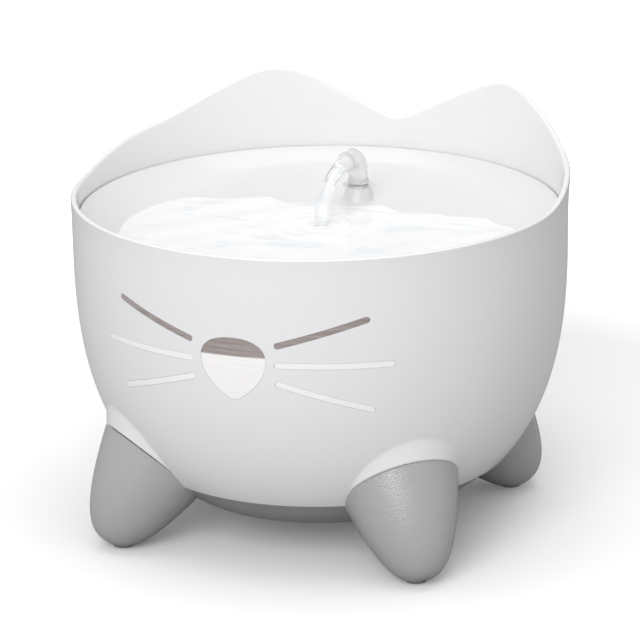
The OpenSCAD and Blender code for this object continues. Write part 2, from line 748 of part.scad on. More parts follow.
// The U-shaped core round the rotor's well, grown all round
module core_shape(grow) {
    difference() {
        translate([-core_w / 2 - grow, core_y - grow, core_low_z - grow])
            cube([core_w + 2 * grow, core_t + 2 * grow, core_high_z - core_low_z + 2 * grow]);
        translate([0, 0, shaft_z]) rotate([-90, 0, 0]) cylinder(r = well_r + 1.4 - grow, h = 100);
        translate([-well_r - 1.4 + grow, core_y - 1, shaft_z])
            cube([2 * (well_r + 1.4 - grow), core_t + 2, 40]);
    }
}

// The coil's block round the core's lower limb, grown all round
module coil_block(grow) {
    translate([-coil_w / 2 - grow, core_y - coil_wall - grow, core_low_z - coil_wall - grow])
        cube([coil_w + 2 * grow, core_t + 2 * (coil_wall + grow), core_limb + 2 * (coil_wall + grow)]);
}

module motor_core() color("silver") difference() {
    core_shape(0);
    translate([-coil_w / 2 - snug, core_y - 1, core_low_z + core_limb])
        cube([coil_w + 2 * snug, core_t + 2, shaft_z - core_low_z - core_limb]);
}

module motor_coil() color("peru") difference() {
    coil_block(0);
    translate([-coil_w, core_y - snug, core_low_z - snug]) cube([2 * coil_w, core_t + 2 * snug, core_limb + 2 * snug]);
}

module pump_shaft() color("white") translate([0, shaft_start_y, shaft_z]) rotate([-90, 0, 0])
    cylinder(r = pump_shaft_r, h = shaft_end_y - shaft_start_y);

module shaft_bushes() color([0.2, 0.2, 0.21]) for (y = [shaft_start_y + face_gap, shaft_end_y - bush_t])
    translate([0, y, shaft_z]) rotate([-90, 0, 0]) difference() {
        cylinder(r = bush_r, h = bush_t);
        translate([0, 0, -1]) cylinder(r = pump_shaft_r + 0.02, h = 5);
    }

module volute_cover() color([0.2, 0.2, 0.21]) translate([0, cover_y + face_gap, shaft_z]) rotate([-90, 0, 0])
    difference() {
        translate([-pump_w / 2, -pump_h / 2 + cover_drop, 0]) cube([pump_w, pump_h - cover_drop, cover_t]);
        translate([0, 0, -1]) difference() {
            cylinder(r = 7, h = 10);
            for (a = [0, 60, 120]) rotate([0, 0, a]) translate([-8, -0.8, -1]) cube([16, 1.6, 20]);
            translate([0, 0, -1]) cylinder(r = bush_r + 1.2, h = 20);
        }
        translate([0, 0, -1]) cylinder(r = bush_r + snug, h = cover_t + 0.2);
        for (x = [-1, 1]) for (z = [-1, 1])
            translate([x * (pump_w / 2 - screw_corner), z * (pump_h / 2 - screw_corner), -1])
                cylinder(r = small_screw_r + 2 * snug, h = 10);
    }

module intake_grille() color([0.16, 0.16, 0.17])
    translate([0, cover_y + cover_t + 2 * face_gap, shaft_z]) rotate([-90, 0, 0]) difference() {
        translate([-grille_w / 2, -grille_w / 2, 0]) cube([grille_w, grille_w, grille_d]);
        translate([-grille_w / 2 + grille_wall, -grille_w / 2 + grille_wall, -1])
            cube([grille_w - 2 * grille_wall, grille_w - 2 * grille_wall, grille_d + 1 - grille_wall]);
        for (i = [-2:2]) translate([(2 * i - 0.5) * grille_slot, -grille_w / 2 + 2 * grille_wall, -1])
            cube([grille_slot, grille_w - 4 * grille_wall, grille_d + 5]);
    }

module cover_screws() color("silver") for (x = [-1, 1]) for (z = [-1, 1])
    translate([x * (pump_w / 2 - screw_corner), cover_y + cover_t + 2 * face_gap,
        shaft_z + z * (pump_h / 2 - screw_corner)]) rotate([90, 0, 0]) {
            cylinder(r = small_screw_r, h = cover_screw_len);
            translate([0, 0, -small_head_h]) cylinder(r = small_head_r, h = small_head_h);
        }

module riser_tube() color([0.9, 0.92, 0.93, 0.6]) translate([0, spout_y, riser_bottom_z]) difference() {
    cylinder(r = riser_r, h = riser_top_z - riser_bottom_z);
    translate([0, 0, -1]) cylinder(r = outlet_r + face_gap, h = 100);
}

module rotor_magnet() color([0.3, 0.3, 0.32]) translate([0, magnet_y, shaft_z]) rotate([-90, 0, 0])
    difference() {
        cylinder(r = magnet_r, h = magnet_len);
        translate([0, 0, -1]) cylinder(r = pump_shaft_r + running, h = 30);
    }

module impeller() color("white") translate([0, impeller_y, shaft_z]) rotate([-90, 0, 0]) difference() {
    union() {
        translate([0, 0, disc_offset]) cylinder(r = impeller_r, h = disc_t);
        cylinder(r = impeller_hub_r, h = disc_offset + disc_t + blade_h);
        for (a = [0:60:300]) rotate([0, 0, a]) translate([impeller_hub_r - blade_t, -blade_t / 2, disc_offset])
            cube([impeller_r - impeller_hub_r, blade_t, disc_t + blade_h - eps]);
    }
    translate([0, 0, -1]) cylinder(r = pump_shaft_r + running, h = 10);
}

module pump_housing() color("gainsboro") translate([0, spout_y, 0]) difference() {
    translate([0, 0, tank_floor_z + face_gap]) cylinder(r = housing_r, h = cup_top_z - tank_floor_z - face_gap);
    translate([0, 0, tank_floor_z]) cylinder(r = housing_r - housing_wall, h = deck_z - housing_wall - tank_floor_z);
    translate([0, 0, deck_z]) cylinder(r = housing_r - housing_wall, h = 50);
    cylinder(r = hub_r, h = 200);
    for (a = [0:30:330]) rotate([0, 0, a]) translate([12, -2, deck_z - 10]) cube([16, 4, 20]);
}

module filter_frame() color("white") translate([0, spout_y, deck_z + face_gap + snug]) difference() {
    cylinder(r = filter_outer_r, h = filter_h);
    translate([0, 0, frame_t]) difference() {
        translate([0, 0, 0]) cylinder(r = filter_outer_r - frame_t, h = filter_h);
        translate([0, 0, -1]) cylinder(r = filter_inner_r + frame_t, h = filter_h + 2);
    }
    translate([0, 0, -1]) cylinder(r = filter_inner_r, h = 50);
    for (a = [15:30:345]) rotate([0, 0, a]) translate([13, -2, -1]) cube([15, 4, 5]);
}

module filter_ring(z0, h) {
    translate([0, spout_y, z0]) difference() {
        cylinder(r = filter_outer_r - frame_t - snug, h = h);
        translate([0, 0, -1]) cylinder(r = filter_inner_r + frame_t + snug, h = h + 2);
    }
}

module carbon_bed() color([0.12, 0.12, 0.12])
    filter_ring(deck_z + frame_t + 2 * snug + face_gap, filter_h - frame_t - foam_h - 2 * snug);

module filter_foam() color("lightskyblue")
    filter_ring(deck_z + filter_h - foam_h + 2 * snug, foam_h);

module drinking_dish() color("white") difference() {
    union() {
        intersection() {
            translate([0, 0, dish_low_z]) cylinder(
                r1 = dish_mouth_r + dish_wall_run - (dish_top_z - dish_low_z) / dish_slope,
                r2 = dish_mouth_r + dish_wall_run, h = dish_top_z - dish_low_z);
            above_dish_floor(dish_wall);
            cylinder(r = dish_r, h = dish_top_z);
        }
        translate([0, 0, dish_top_z - dish_skirt]) difference() {
            cylinder(r = dish_r, h = dish_skirt);
            translate([0, 0, -eps]) cylinder(r = dish_r - dish_wall, h = dish_skirt + 1);
        }
        translate([0, spout_y, socket_bottom_z])
            cylinder(r = socket_r + socket_wall, h = dish_floor_z - socket_bottom_z);
        translate([0, -drain_y, water_rim_z - 14]) cylinder(r = drain_r + dish_wall, h = 12);
    }
    difference() {
        intersection() {
            translate([0, 0, dish_low_z]) cylinder(
                r1 = dish_mouth_r - (dish_top_z - dish_low_z) / dish_slope,
                r2 = dish_mouth_r, h = dish_top_z - dish_low_z + eps);
            above_dish_floor(0);
        }
        translate([0, spout_y, dish_floor_z - 8])
            cylinder(d1 = pedestal_foot_d, d2 = pedestal_top_d, h = pedestal_top_z - dish_floor_z + 8);
        translate([0, -drain_y, dish_low_z])
            cylinder(r = drain_r + dish_wall, h = water_rim_z - dish_low_z);
    }
    translate([0, spout_y, pedestal_top_z]) cylinder(d = 60, h = 20);
    translate([0, spout_y, 100]) cylinder(r = pedestal_bore_r, h = 80);
    translate([0, spout_y, socket_bottom_z - 1]) cylinder(r = socket_r, h = dish_floor_z - socket_bottom_z - 6);
    translate([0, spout_y, seal_z - riser_seal_t - snug])
        cylinder(r = riser_r + running + 2 * riser_seal_t + snug, h = 2 * (riser_seal_t + snug));
    translate([0, -drain_y, 100]) difference() {
        cylinder(r = drain_r, h = 60);
        for (a = [0, 60, 120]) rotate([0, 0, a]) translate([-drain_r - 1, -0.8, water_rim_z - 103])
            cube([2 * drain_r + 2, 1.6, 2.4]);
    }
}

module riser_seal() color([0.2, 0.2, 0.21]) translate([0, spout_y, seal_z]) rotate_extrude()
    translate([riser_r + running + riser_seal_t, 0]) circle(r = riser_seal_t, $fn = 24);

module spout_collar() color([0.9, 0.93, 0.95, 0.6]) translate([0, spout_y, 0]) difference() {
    union() {
        translate([0, 0, collar_bottom_z]) cylinder(d = collar_d, h = collar_floor);
        translate([0, 0, collar_bottom_z]) cylinder(r = collar_cup_r + collar_cup_wall, h = collar_floor + collar_rim);
        translate([0, 0, collar_bottom_z - spigot_len]) cylinder(r = spigot_r, h = spigot_len + 0.5);
    }
    translate([0, 0, collar_cup_z]) cylinder(r = collar_cup_r, h = 10);
    cylinder(r = spigot_r - spigot_wall, h = 300);
    translate([0, 0, ring_z - ring_t - face_gap]) difference() {
        cylinder(r = 10, h = 2 * (ring_t + face_gap));
        translate([0, 0, -1]) cylinder(r = ring_r - ring_t - face_gap, h = 5);
    }
}

module collar_seal() color([0.2, 0.2, 0.21]) translate([0, spout_y, ring_z]) rotate_extrude()
    translate([ring_r, 0]) circle(r = ring_t, $fn = 24);

module spout_tube() color([0.9, 0.93, 0.95, 0.5]) translate([0, spout_y, 0]) rotate([0, 0, -spout_turn]) {
    foot_z = collar_cup_z + face_gap;
    bend_z = arch_top_z - arch_r;
    translate([0, 0, foot_z]) difference() {
        cylinder(d = spout_d, h = bend_z - foot_z);
        translate([0, 0, -1]) cylinder(d = spout_bore, h = 50);
    }
    translate([0, -arch_r, bend_z]) rotate([90, 0, 90]) rotate_extrude(angle = 90)
        translate([arch_r, 0]) difference() {
            circle(d = spout_d, $fn = 48);
            circle(d = spout_bore, $fn = 48);
        }
    translate([0, -arch_r, arch_top_z]) rotate([90, 0, 0]) difference() {
        cylinder(d = spout_d, h = nozzle_len);
        translate([0, 0, -1]) cylinder(d = spout_bore, h = nozzle_len + 2);
    }
}

outer_shell();
face_window();
window_seal();
base_pan();
base_seal();
base_screws();
leg(leg_specs[0]);  // leg_front_left
leg(leg_specs[1]);  // leg_front_right
leg(leg_specs[2]);  // leg_rear_left
leg(leg_specs[3]);  // leg_rear_right
leg_screws();
foot_pads();
power_socket();
socket_tongue();
control_board();
board_screws();
lead_gland();
pump_lead();
suction_feet();
pump_body();
motor_coil();
motor_core();
pump_shaft();
shaft_bushes();
volute_cover();
intake_grille();
cover_screws();
riser_tube();
rotor_magnet();
impeller();
pump_housing();
filter_frame();
filter_foam();
carbon_bed();
drinking_dish();
riser_seal();
spout_collar();
collar_seal();
spout_tube();
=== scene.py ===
# %% [markdown]
# # A pet water fountain with ear points, round its CAD frame
# The real object is a round moulded water tank on four cone legs. A dish lifts out of its rim,
# and a clear spout pours a stream into the dish. The CAD model gives every size and place.
# This script gives the visible skins their smooth forms and finishes, and adds the water.

# %% Load the frame
import math

import bmesh
import bpy
import numpy as np
from mathutils import Matrix, Vector


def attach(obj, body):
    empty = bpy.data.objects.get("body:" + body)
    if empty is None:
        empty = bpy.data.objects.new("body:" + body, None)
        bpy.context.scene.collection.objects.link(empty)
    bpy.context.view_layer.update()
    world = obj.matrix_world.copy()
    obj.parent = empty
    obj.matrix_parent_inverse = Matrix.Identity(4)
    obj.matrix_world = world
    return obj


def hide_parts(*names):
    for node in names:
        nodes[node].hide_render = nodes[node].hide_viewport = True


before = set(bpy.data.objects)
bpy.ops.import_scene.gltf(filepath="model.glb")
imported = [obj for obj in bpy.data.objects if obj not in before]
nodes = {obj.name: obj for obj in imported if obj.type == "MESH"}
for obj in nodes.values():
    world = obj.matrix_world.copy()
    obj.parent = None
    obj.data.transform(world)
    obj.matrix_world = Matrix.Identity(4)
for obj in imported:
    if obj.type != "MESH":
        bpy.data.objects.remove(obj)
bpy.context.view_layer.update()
scene = bpy.context.scene
MM = 0.001

# %% [markdown]
# ## Camera
# The photograph looks down at the front from a little to the right, with a long lens, so that
# the round rim shows as a flat ellipse. A camera could be aimed by a constraint, but a small roll
# is hard to add to that. So three directions, right, up and back, are worked out from two angles
# and a roll in radians, and are set with the position as one matrix.

# %% Camera
CAMERA_TURN = 0.352
CAMERA_RISE = 0.3116
CAMERA_DISTANCE = 1.606
CAMERA_ROLL = -0.0163
AIM_HEIGHT = 0.0968
AIM_SIDE = -0.00086
LENS_MM = 184.2
SENSOR_MM = 36


def make_camera():
    turn, rise = CAMERA_TURN, CAMERA_RISE
    back = Vector((math.sin(turn) * math.cos(rise), -math.cos(turn) * math.cos(rise), math.sin(rise)))
    right = Vector((math.cos(turn), math.sin(turn), 0))
    up = back.cross(right)
    place = right * AIM_SIDE + Vector((0, 0, AIM_HEIGHT)) + back * CAMERA_DISTANCE
    c, s = math.cos(CAMERA_ROLL), math.sin(CAMERA_ROLL)
    across, upward = c * right + s * up, c * up - s * right
    data = bpy.data.cameras.new("camera")
    data.lens = LENS_MM
    data.sensor_width = SENSOR_MM
    camera = bpy.data.objects.new("camera", data)
    camera.matrix_world = Matrix((
        (across.x, upward.x, back.x, place.x),
        (across.y, upward.y, back.y, place.y),
        (across.z, upward.z, back.z, place.z),
        (0, 0, 0, 1)))
    scene.collection.objects.link(camera)
    scene.camera = camera
    return camera


camera = make_camera()
print("camera at", [round(v, 3) for v in camera.location])

# %% [markdown]
# ## Shader tree helpers
# The world, the floor and every finish are trees of shader nodes. They could be drawn by hand in
# the editor. Three small functions keep them short to write here: one empties a tree, one adds a
# node with its settings and input values, and one links outputs to inputs.

# %% Shader tree helpers
MIX_A, MIX_B, MIX_OUT = 6, 7, 2  # a Mix node's colour sockets
WHITE = (1, 1, 1, 1)


def fresh_tree(owner):
    owner.use_nodes = True
    owner.node_tree.nodes.clear()
    return owner.node_tree


def add_node(tree, kind, values=None, **settings):
    """A new shader node. values are for its inputs, and settings are its other choices."""
    node = tree.nodes.new("ShaderNode" + kind)
    for setting, value in settings.items():
        setattr(node, setting, value)
    for socket, value in (values or {}).items():
        node.inputs[socket].default_value = value
    return node


def join(tree, *pairs):
    for output, socket in pairs:
        tree.links.new(output, socket)


print("helpers for shader trees are ready")

# %% [markdown]
# ## Light and floor
# The photograph is a studio cut-out: a white floor and background, one broad soft light from the
# front, so that both sides of the round wall fall off, and one from above. Large area lamps give
# such soft light, where a sun or a spot would draw hard edges. The world is plain gray for the
# object, white where the camera or a clear piece sees it, and half way in a reflection, so the
# background is white without more light.

# %% World and lamps
scene.view_settings.view_transform = "Standard"
WORLD_LIGHT = 0.58
GLOSS_SHARE = 0.5
LAMP_AIM = (0, 0, 0.1)
# Place and side in metres, and power in watts.
LAMPS = {"key_softbox": ((0.08, -1.558, 1.0), 1.1, 17), "top_softbox": ((0.0, 0.1, 1.5), 1.2, 7.4)}


def make_world():
    world = bpy.data.worlds.new("studio")
    scene.world = world
    tree = fresh_tree(world)
    dim = add_node(tree, "Background", {"Color": WHITE, "Strength": WORLD_LIGHT})
    white = add_node(tree, "Background", {"Color": WHITE, "Strength": 1.0})
    path = add_node(tree, "LightPath")
    part = add_node(tree, "Math", {1: GLOSS_SHARE}, operation="MULTIPLY")
    seen = add_node(tree, "Math", operation="MAXIMUM")
    clear = add_node(tree, "Math", operation="MAXIMUM")
    mix = add_node(tree, "MixShader")
    out = add_node(tree, "OutputWorld")
    join(tree, (path.outputs["Is Camera Ray"], seen.inputs[0]),
         (path.outputs["Is Glossy Ray"], part.inputs[0]), (part.outputs[0], seen.inputs[1]),
         (path.outputs["Is Transmission Ray"], clear.inputs[1]), (seen.outputs[0], clear.inputs[0]),
         (clear.outputs[0], mix.inputs[0]), (dim.outputs[0], mix.inputs[1]),
         (white.outputs[0], mix.inputs[2]), (mix.outputs[0], out.inputs[0]))


def add_lamp(name, place, side, power):
    data = bpy.data.lights.new(name, "AREA")
    data.shape = "RECTANGLE"
    data.size = data.size_y = side
    data.energy = power
    lamp = bpy.data.objects.new(name, data)
    lamp.location = place
    lamp.rotation_mode = "QUATERNION"
    lamp.rotation_quaternion = (Vector(LAMP_AIM) - Vector(place)).to_track_quat("-Z", "Y")
    scene.collection.objects.link(lamp)


make_world()
for name, lamp in LAMPS.items():
    add_lamp(name, *lamp)
print("lamps:", list(LAMPS))

# %% [markdown]
# The floor is one large plane. Its colour is nearly white where the camera sees it, with a little
# light of its own that lifts it to the white of the page, more of it farther out where the lamps
# don't reach. It is a mid gray for the light that it throws up at the object, and the object's
# shadow still shows on it. A curved paper backdrop would do the same, with more to set up.

# %% Floor
FLOOR_HALF = 6.0
FLOOR_LIFT = 0.08
FLOOR_SEEN = 0.93  # what the camera sees
FLOOR_BOUNCE = 0.48  # what the light meets
PAGE_START = 0.3  # metres from the middle at which the floor's own light starts to grow
PAGE_END = 0.75  # and at which it is full white


def floor_finish():
    paint = bpy.data.materials.new("floor_white")
    tree = fresh_tree(paint)
    path = add_node(tree, "LightPath")
    where = add_node(tree, "TexCoord")
    reach = add_node(tree, "VectorMath", operation="LENGTH")
    page = add_node(tree, "MapRange", {"From Min": PAGE_START, "From Max": PAGE_END,
                                       "To Min": FLOOR_LIFT, "To Max": 1.0})
    lift = add_node(tree, "Math", operation="MULTIPLY")
    tone = add_node(tree, "Mix", {MIX_A: (FLOOR_BOUNCE, FLOOR_BOUNCE, FLOOR_BOUNCE, 1),
                                  MIX_B: (FLOOR_SEEN, FLOOR_SEEN, FLOOR_SEEN, 1)}, data_type="RGBA")
    plain = add_node(tree, "BsdfDiffuse")
    glow = add_node(tree, "Emission")
    add = add_node(tree, "AddShader")
    out = add_node(tree, "OutputMaterial")
    join(tree, (where.outputs["Object"], reach.inputs[0]), (reach.outputs["Value"], page.inputs["Value"]),
         (path.outputs["Is Camera Ray"], lift.inputs[0]), (page.outputs[0], lift.inputs[1]),
         (path.outputs["Is Camera Ray"], tone.inputs[0]), (tone.outputs[MIX_OUT], plain.inputs["Color"]),
         (lift.outputs[0], glow.inputs["Strength"]), (plain.outputs[0], add.inputs[0]),
         (glow.outputs[0], add.inputs[1]), (add.outputs[0], out.inputs[0]))
    return paint


def make_floor():
    data = bpy.data.meshes.new("floor")
    corners = [(x * FLOOR_HALF, y * FLOOR_HALF, 0) for x, y in ((-1, -1), (1, -1), (1, 1), (-1, 1))]
    data.from_pydata(corners, [], [(0, 1, 2, 3)])
    data.materials.append(floor_finish())
    floor = bpy.data.objects.new("floor", data)
    scene.collection.objects.link(floor)


make_floor()
print("floor side:", 2 * FLOOR_HALF, "m")

# %% [markdown]
# ## Finishes
# Most of the object is moulded plastic. Glossy white plastic is a bright base under a smooth
# skin, with the faintest waviness. Matte plastic has a fine grain from the mould. A flat colour
# would look dead, and an image would need a photograph of each material. So one helper makes all
# of them from noise: a broad one drives small changes of colour, and a fine one drives a bump.
# The numbers that are the same all over sit on the shader's own sockets.

# %% Helper for moulded finishes
GRAIN_DEPTH = 0.0002


def add_noise(tree, source, scale, detail, distortion=0.0):
    noise = add_node(tree, "TexNoise", {"Scale": scale, "Detail": detail, "Distortion": distortion})
    tree.links.new(source, noise.inputs["Vector"])
    return noise


def moulded(name, color, roughness, grain=0.0, grain_scale=2500.0, shade=0.02, shade_scale=25.0,
            **sockets):
    """Finish whose colour varies by the share shade, with a bump of strength grain."""
    paint = bpy.data.materials.new(name)
    paint.use_nodes = True
    tree = paint.node_tree
    shader = tree.nodes["Principled BSDF"]
    shader.inputs["Roughness"].default_value = roughness
    for socket, value in sockets.items():
        shader.inputs[socket.replace("_", " ")].default_value = value
    where = add_node(tree, "TexCoord").outputs["Object"]
    cloud = add_noise(tree, where, shade_scale, 3.0)
    tint = add_node(tree, "Mix", {MIX_A: (*[c * (1 - shade) for c in color], 1),
                                  MIX_B: (*[min(1, c * (1 + shade)) for c in color], 1)}, data_type="RGBA")
    join(tree, (cloud.outputs["Fac"], tint.inputs[0]), (tint.outputs[MIX_OUT], shader.inputs["Base Color"]))
    if grain:
        fine = add_noise(tree, where, grain_scale, 2.0)
        bump = add_node(tree, "Bump", {"Strength": grain, "Distance": GRAIN_DEPTH})
        join(tree, (fine.outputs["Fac"], bump.inputs["Height"]), (bump.outputs[0], shader.inputs["Normal"]))
    return paint


print("grain depth:", GRAIN_DEPTH / MM, "mm")

# %% Moulded finishes
shell_white = moulded("shell_gloss_white", (0.80, 0.80, 0.81), 0.16, grain=0.03, grain_scale=60.0,
                      shade=0.006, IOR=1.5)
dish_white = moulded("dish_gloss_white", (0.73, 0.73, 0.735), 0.22, grain=0.03, grain_scale=60.0,
                     shade=0.006, IOR=1.5)
leg_gray = moulded("leg_matte_gray", (0.39, 0.39, 0.395), 0.22, grain=1.0, grain_scale=1350.0, shade=0.05,
                   Specular_IOR_Level=1.0)
pan_gray = moulded("pan_satin_gray", (0.31, 0.31, 0.315), 0.42, grain=0.12, grain_scale=1800.0, shade=0.04)
pad_rubber = moulded("pad_rubber", (0.24, 0.24, 0.245), 0.8, grain=0.5, grain_scale=1500.0, shade=0.1)
seal_silicone = moulded("seal_silicone", (0.55, 0.55, 0.56), 0.6, grain=0.2, shade=0.03)
black_rubber = moulded("black_rubber", (0.02, 0.02, 0.021), 0.65, grain=0.3, shade=0.1)
pump_black = moulded("pump_black_plastic", (0.025, 0.025, 0.028), 0.45, grain=0.3, shade=0.08)
housing_white = moulded("housing_milky", (0.72, 0.75, 0.77), 0.3, grain=0.06, shade=0.02)
rotor_white = moulded("rotor_ceramic", (0.82, 0.81, 0.78), 0.25, grain=0.05, shade=0.02)
screw_steel = moulded("screw_steel", (0.62, 0.62, 0.63), 0.28, grain=0.15, grain_scale=4000.0, shade=0.05,
                      Metallic=1.0)
winding_copper = moulded("winding_copper", (0.72, 0.32, 0.16), 0.3, grain=0.4, grain_scale=1200.0,
                         shade=0.12, Metallic=1.0)
magnet_dark = moulded("magnet_ferrite", (0.07, 0.07, 0.08), 0.55, grain=0.3, shade=0.1)
board_green = moulded("board_green", (0.02, 0.16, 0.07), 0.35, grain=0.1, shade=0.15, shade_scale=180.0)
filter_foam_blue = moulded("filter_foam", (0.30, 0.50, 0.66), 0.9, grain=1.0, grain_scale=900.0, shade=0.15,
                           shade_scale=500.0)
carbon_black = moulded("carbon_granules", (0.015, 0.015, 0.016), 0.5, grain=1.0, grain_scale=500.0,
                       shade=0.5, shade_scale=400.0)
print("moulded finishes run from", shell_white.name, "to", carbon_black.name)

# %% [markdown]
# Clear plastic is mostly see-through. A Glass shader would do for a perfect pane, but moulded
# plastic also scatters a little, so it is a Principled shader with most of its light let through,
# little roughness, and a bump that gives the slight waviness of a moulded tube.

# %% Clear finishes


def clear_finish(name, color, roughness, ior, ripple, ripple_scale, clear):
    return moulded(name, color, roughness, grain=ripple, grain_scale=ripple_scale, shade=0.0, IOR=ior,
                   Transmission_Weight=clear)


clear_plastic = clear_finish("clear_plastic", (0.99, 0.99, 0.99), 0.05, 1.46, 0.05, 90.0, 0.8)
clear_plastic.node_tree.nodes["Principled BSDF"].inputs["Alpha"].default_value = 0.62
print("clear finish ready:", clear_plastic.name)

# %% [markdown]
# Most CAD nodes have the right shape already, such as the screws, the pump and the filter. They
# need no new mesh, only the finish of their material, which one table gives to each of them. The
# nodes that are replaced further down are in it too, so that none is left without a finish.

# %% Finishes of the CAD nodes
FINISHES = {
    "outer_shell": shell_white, "window_seal": seal_silicone, "base_pan": pan_gray, "base_seal": black_rubber,
    "base_screws": screw_steel, "leg_front_left": leg_gray, "leg_front_right": leg_gray,
    "leg_rear_left": leg_gray, "leg_rear_right": leg_gray, "leg_screws": screw_steel, "foot_pads": pad_rubber,
    "power_socket": screw_steel, "socket_tongue": black_rubber, "control_board": board_green,
    "board_screws": screw_steel, "lead_gland": black_rubber, "pump_lead": black_rubber,
    "suction_feet": black_rubber, "pump_body": pump_black, "motor_coil": winding_copper,
    "motor_core": screw_steel, "pump_shaft": rotor_white, "shaft_bushes": black_rubber,
    "volute_cover": pump_black, "intake_grille": pump_black, "cover_screws": screw_steel,
    "riser_tube": clear_plastic, "rotor_magnet": magnet_dark, "impeller": rotor_white,
    "pump_housing": housing_white, "filter_frame": housing_white, "filter_foam": filter_foam_blue,
    "carbon_bed": carbon_black, "drinking_dish": dish_white, "riser_seal": seal_silicone,
    "spout_collar": clear_plastic, "collar_seal": seal_silicone, "spout_tube": clear_plastic,
    "face_window": clear_plastic,
}
for name, node in nodes.items():
    node.data.materials.clear()
    node.data.materials.append(FINISHES[name])
print("CAD nodes with a finish:", len(FINISHES))

# %% [markdown]
# ## The outline of the body
# The tank is a solid of revolution. Its belly follows a blunt ellipse, and above the dish the
# wall flares out towards the ears. The curves could be read off the CAD mesh, but a formula can be
# asked anywhere. These few functions give the radius at any height and the height of the rim at
# any place round it, in millimetres, with the numbers of the CAD source.

# %% Outline functions
BODY_R = 120.2  # radius where the body is widest
WIDEST_Z = 145.0
BELLY_DEPTH = 142.5  # from the widest place down to where the belly would close
BELLY_POWER = 2.7  # 2 would make an ellipse
FLARE_Z = 152.0  # above this the wall flares out
FLARE_OUT = 4.7  # and by this much at the ear tips
EAR_TIP_Z = 195.4
SHELL_WALL = 3.0
SHELL_BOTTOM_Z = 34.6
RIM_R = 122.5  # radius at which the rim's height is worked out
RIM_Z = 163.6  # rim at the front
NOTCH_Z = 170.95  # rim between the ears
NOTCH_ROUND = 5.9  # rounds the notch
EAR_APEX_X = 63.4  # half the distance between the ear points
EAR_INNER_SLOPE = 0.53  # rise from the notch to the ear point
EAR_OUTER_SLOPE = 0.555  # fall beyond it
EAR_SOFT = 12.4  # rounds the ear point
SIDE_START_Y = -8.0  # behind this the side of the rim rises
SIDE_SLOPE = 0.21
SIDE_EASE = 14  # rounds the start of the rise
BLEND_START_Y = 26  # behind this the ears take over from the side
BLEND_LEN = 44  # within this length


def body_radius(z, inset=0.0):
    depth = np.clip((WIDEST_Z - z) / (BELLY_DEPTH - inset), 0, 1)
    belly = (BODY_R - inset) * (1 - depth ** BELLY_POWER) ** (1 / BELLY_POWER)
    flare = np.where(z > FLARE_Z, FLARE_OUT * ((z - FLARE_Z) / (EAR_TIP_Z - FLARE_Z)) ** 2, 0)
    return belly + flare


def soft_min(a, b, s):
    return (a + b - np.sqrt((a - b) ** 2 + s * s)) / 2


def rim_height(angle):
    """Rim height at an angle counted from the front, -Y."""
    x, y = RIM_R * np.abs(np.sin(angle)), -RIM_R * np.cos(angle)
    ear_base = NOTCH_Z - EAR_INNER_SLOPE * NOTCH_ROUND
    ear_apex = ear_base + EAR_INNER_SLOPE * math.hypot(EAR_APEX_X, NOTCH_ROUND)
    inner = ear_base + EAR_INNER_SLOPE * np.sqrt(x * x + NOTCH_ROUND ** 2)
    front_view = soft_min(inner, ear_apex + EAR_OUTER_SLOPE * (EAR_APEX_X - x), EAR_SOFT)
    along = y - SIDE_START_Y
    side_view = RIM_Z + SIDE_SLOPE * (along + np.sqrt(along ** 2 + SIDE_EASE ** 2)) / 2
    share = np.clip((y - BLEND_START_Y) / BLEND_LEN, 0, 1)
    share = share * share * (3 - 2 * share)
    return side_view * (1 - share) + front_view * share


print("radius at half height:", round(float(body_radius(np.array(70.0))), 1), "mm")

# %% [markdown]
# ## Mesh helpers
# Blender can turn and bend primitives with modifiers, but here every surface has a formula, so
# meshes are made from plain lists of points and faces. `grid_faces` joins rows of points into
# quads, `ring_faces` also joins the last row to the first, and `prism_faces` closes an outline
# that is pushed through. `add_piece` turns millimetres into metres and makes the object.

# %% Faces from rows of points


def grid_faces(rows, columns, closed=True):
    faces = []
    for i in range(rows - 1):
        for j in range(columns if closed else columns - 1):
            k = (j + 1) % columns
            low, high = i * columns, (i + 1) * columns
            faces.append((low + j, low + k, high + k, high + j))
    return faces


def ring_faces(rows, columns):
    last = (rows - 1) * columns
    ends = [(last + j, last + (j + 1) % columns, (j + 1) % columns, j) for j in range(columns)]
    return grid_faces(rows, columns) + ends


def prism_faces(first, count):
    """Two ends and the sides between two outlines of count points each, which start at point first."""
    ends = [tuple(range(first, first + count)), tuple(range(first + 2 * count - 1, first + count - 1, -1))]
    sides = [(first + k, first + count + k, first + count + (k + 1) % count, first + (k + 1) % count)
             for k in range(count)]
    return ends + sides


print("faces of a grid of 3 rows by 8 columns:", len(grid_faces(3, 8)))

# %% Pieces from points and faces
ON_AXIS = 0.001  # radius in mm of a ring that shrinks to a point on the axis
MERGE, FINE_MERGE, DISH_MERGE, SHELL_MERGE = 1e-6, 1e-7, 2e-6, 3e-6  # in metres


def shade(data, degrees):
    """Smooth shading, with a sharp edge where faces turn by more than this."""
    data.shade_smooth()
    data.set_sharp_from_angle(angle=math.radians(degrees))


def add_piece(name, points_mm, faces, paint, sharp=40.0):
    data = bpy.data.meshes.new(name)
    data.from_pydata([tuple(p) for p in np.asarray(points_mm) * MM], [], faces)
    data.validate()
    data.update()
    shade(data, sharp)
    data.materials.append(paint)
    piece = bpy.data.objects.new(name, data)
    scene.collection.objects.link(piece)
    return piece


def merge(piece, distance=MERGE):
    """Join points that are closer than distance, and turn all faces outwards."""
    work = bmesh.new()
    work.from_mesh(piece.data)
    bmesh.ops.remove_doubles(work, verts=work.verts, dist=distance)
    bmesh.ops.recalc_face_normals(work, faces=work.faces)
    work.to_mesh(piece.data)
    work.free()


